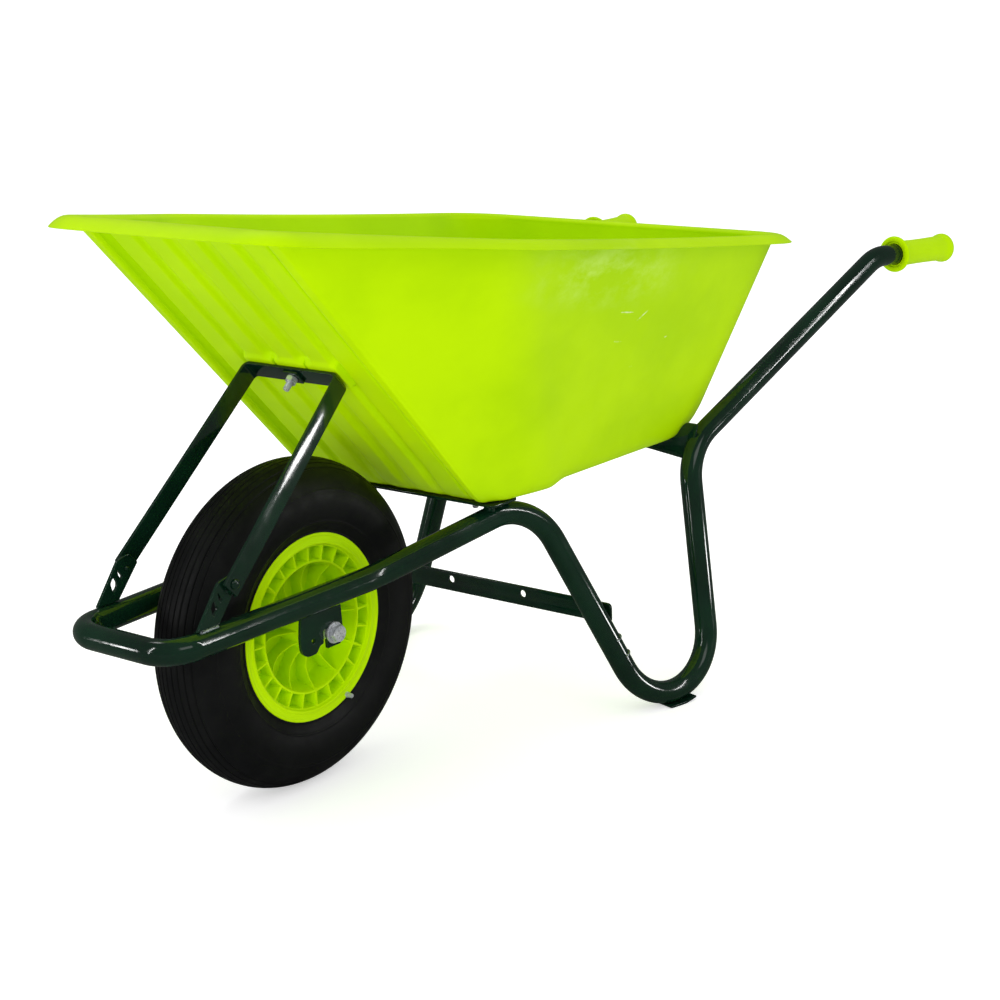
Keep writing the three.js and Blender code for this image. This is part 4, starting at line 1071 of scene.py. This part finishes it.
def build_wheel():
    piece("tyre_detail", tyre(), "rubber", ["tyre"], "wheel", 40)
    piece("rim_detail", rim(), "lime", ["rim"], "wheel", 50)
    for label, side in SIDES:
        piece(f"hub_bush_{label}_detail", hub_bush(side), "nylon", [f"hub_bush_{label}"], "wheel")
    piece("valve", placed(valve(), (50.0, -41.5, WHEEL_R - 100.5), (0, -1, 0)), "zinc", (), "wheel")
    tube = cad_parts["inner_tube"]
    tube.data.materials.clear()
    tube.data.materials.append(RUBBER)


def build_frame():
    piece("frame_tube", frame_tube(), "paint", FRAME_NODES)
    piece("nose_brace_detail", nose_brace(), "paint", ["nose_brace"])
    piece("front_cross_bar_detail", front_cross_bar(), "paint", ["front_cross_bar"])
    piece("rear_cross_member_detail", rear_cross_member(), "paint", ["rear_cross_member"])
    piece("leg_brace_detail", leg_brace(), "paint", ["leg_brace"])
    for label, side in SIDES:
        tip, wrist = on_side(TIP, side), on_side(WRIST, side)
        direction = unit(tip - wrist)
        handle = placed(grip(), tip - direction * GRIP_LENGTH, direction)
        piece(f"grip_{label}_detail", handle, "lime", [f"grip_{label}"])
        piece(f"foot_skid_{label}_detail", foot_skid(side), "paint", [f"foot_skid_{label}"])
        piece(f"brace_tab_{label}_detail", brace_tab(side), "paint", [f"brace_tab_{label}"])
        piece(f"bar_saddle_{label}_detail", bar_saddle(side), "paint", [f"bar_saddle_{label}"])
        piece(f"welds_{label}", welds(side), "weld")


# ---- Studio ----
def floor_material():
    """White card that glows a little to the eye and stays dim in reflections."""
    n = Nodes("studio_floor")
    base = n.colour(n.band(n.noise(1.5, 4.0), 0.3, 0.7), (0.90, 0.90, 0.90), (0.93, 0.93, 0.93))
    path = n.tree.nodes.new("ShaderNodeLightPath")
    dark = n.colour(path.outputs["Is Glossy Ray"], base, (0.16, 0.16, 0.16))
    n.set(Base_Color=dark, Roughness=0.9, Specular_IOR_Level=0.0, Emission_Color=(1, 1, 1, 1))
    n.set(Emission_Strength=n.band(path.outputs["Is Camera Ray"], 0, 1, 0.0, 0.45))
    return n.material


def build_floor():
    half = 60.0
    lines = np.linspace(-half, half, 13)
    points = [(x, y, 0.0) for y in lines for x in lines]
    count = len(lines)
    faces = [(j * count + i, j * count + i + 1, (j + 1) * count + i + 1, (j + 1) * count + i)
             for j in range(count - 1) for i in range(count - 1)]
    mesh = bpy.data.meshes.new("floor")
    mesh.from_pydata(points, [], faces)
    floor = link(bpy.data.objects.new("floor", mesh))
    mesh.materials.append(floor_material())


def softbox(name, at, target, size, power, diffuse=True, glossy=True):
    """A soft rectangular light. Without diffuse it only shows as a highlight; without glossy it only fills."""
    light = bpy.data.lights.new(name, "AREA")
    light.shape = "RECTANGLE"
    light.size, light.size_y = size
    light.energy = power
    lamp = link(bpy.data.objects.new(name, light))
    lamp.location = at
    lamp.rotation_euler = (Vector(target) - Vector(at)).to_track_quat("-Z", "Y").to_euler()
    lamp.visible_camera = False
    lamp.visible_diffuse = diffuse
    lamp.visible_glossy = glossy


def build_world():
    """An even white room, dimmer in reflections so that gloss paint stays dark between its highlights."""
    world = bpy.data.worlds.new("studio")
    world.use_nodes = True
    tree = world.node_tree
    background = tree.nodes["Background"]
    background.inputs["Color"].default_value = (1, 1, 1, 1)
    path = tree.nodes.new("ShaderNodeLightPath")
    total = tree.nodes.new("ShaderNodeMath")
    rays = (("Is Glossy Ray", 0.90, 0.14), ("Is Camera Ray", 0.0, 0.20))
    for socket, (output, otherwise, seen) in zip(total.inputs, rays):
        step = tree.nodes.new("ShaderNodeMapRange")
        step.inputs["To Min"].default_value = otherwise
        step.inputs["To Max"].default_value = seen
        tree.links.new(path.outputs[output], step.inputs["Value"])
        tree.links.new(step.outputs["Result"], socket)
    tree.links.new(total.outputs["Value"], background.inputs["Strength"])
    bpy.context.scene.world = world


CAMERA_AT = (-1601.1, -1577.6, 948.7)
CAMERA_TURN, CAMERA_DIP, CAMERA_ROLL = 36.59, 15.2, -1.45
SENSOR, LENS = 36, 70.7184


def build_camera():
    """A long lens from the nose's left, a little above the rim."""
    turn, dip, roll = (math.radians(angle) for angle in (CAMERA_TURN, CAMERA_DIP, CAMERA_ROLL))
    ahead = np.array([math.cos(turn) * math.cos(dip), math.sin(turn) * math.cos(dip), -math.sin(dip)])
    level = np.array([math.sin(turn), -math.cos(turn), 0.0])
    above = np.cross(level, ahead)
    right = level * math.cos(roll) + above * math.sin(roll)
    up = above * math.cos(roll) - level * math.sin(roll)
    data = bpy.data.cameras.new("camera")
    data.sensor_width = SENSOR
    data.lens = LENS
    data.shift_x = -0.049
    data.shift_y = -0.001
    data.clip_end = 200
    camera = link(bpy.data.objects.new("camera", data))
    rotation = Matrix(np.stack([right, up, -ahead], axis=1).tolist())
    camera.matrix_world = Matrix.Translation(metres([CAMERA_AT])[0]) @ rotation.to_4x4()
    bpy.context.scene.camera = camera


def build_studio():
    build_floor()
    build_world()
    middle = (0, 0, 0.35)
    softbox("key", (-1.0, -3.2, 2.6), middle, (2.0, 1.2), 12)
    softbox("front", (-3.6, -0.8, 0.45), (-0.4, 0, 0.5), (2.0, 0.8), 32, glossy=False)
    softbox("top", (0.4, 1.6, 3.6), middle, (1.8, 0.8), 20)
    softbox("strip_left", (-3.6, 0.6, 1.9), (-0.4, 0, 0.4), (0.08, 2.8), 30, diffuse=False)
    softbox("strip_right", (1.8, -3.4, 2.4), (0.2, 0, 0.3), (0.09, 2.8), 34, diffuse=False)
    softbox("strip_nose", (-2.7, 2.0, 0.45), (-0.7, 0, 0.25), (0.12, 0.5), 5, diffuse=False)
    softbox("low_card", (0.68, -1.15, 0.21), (-0.5, -0.08, 0.46), (0.20, 0.12), 2.2, diffuse=False)
    build_camera()
    bpy.context.scene.view_settings.view_transform = "Standard"


build_tray()
build_frame()
build_fasteners()
build_axle()
build_wheel()
build_studio()
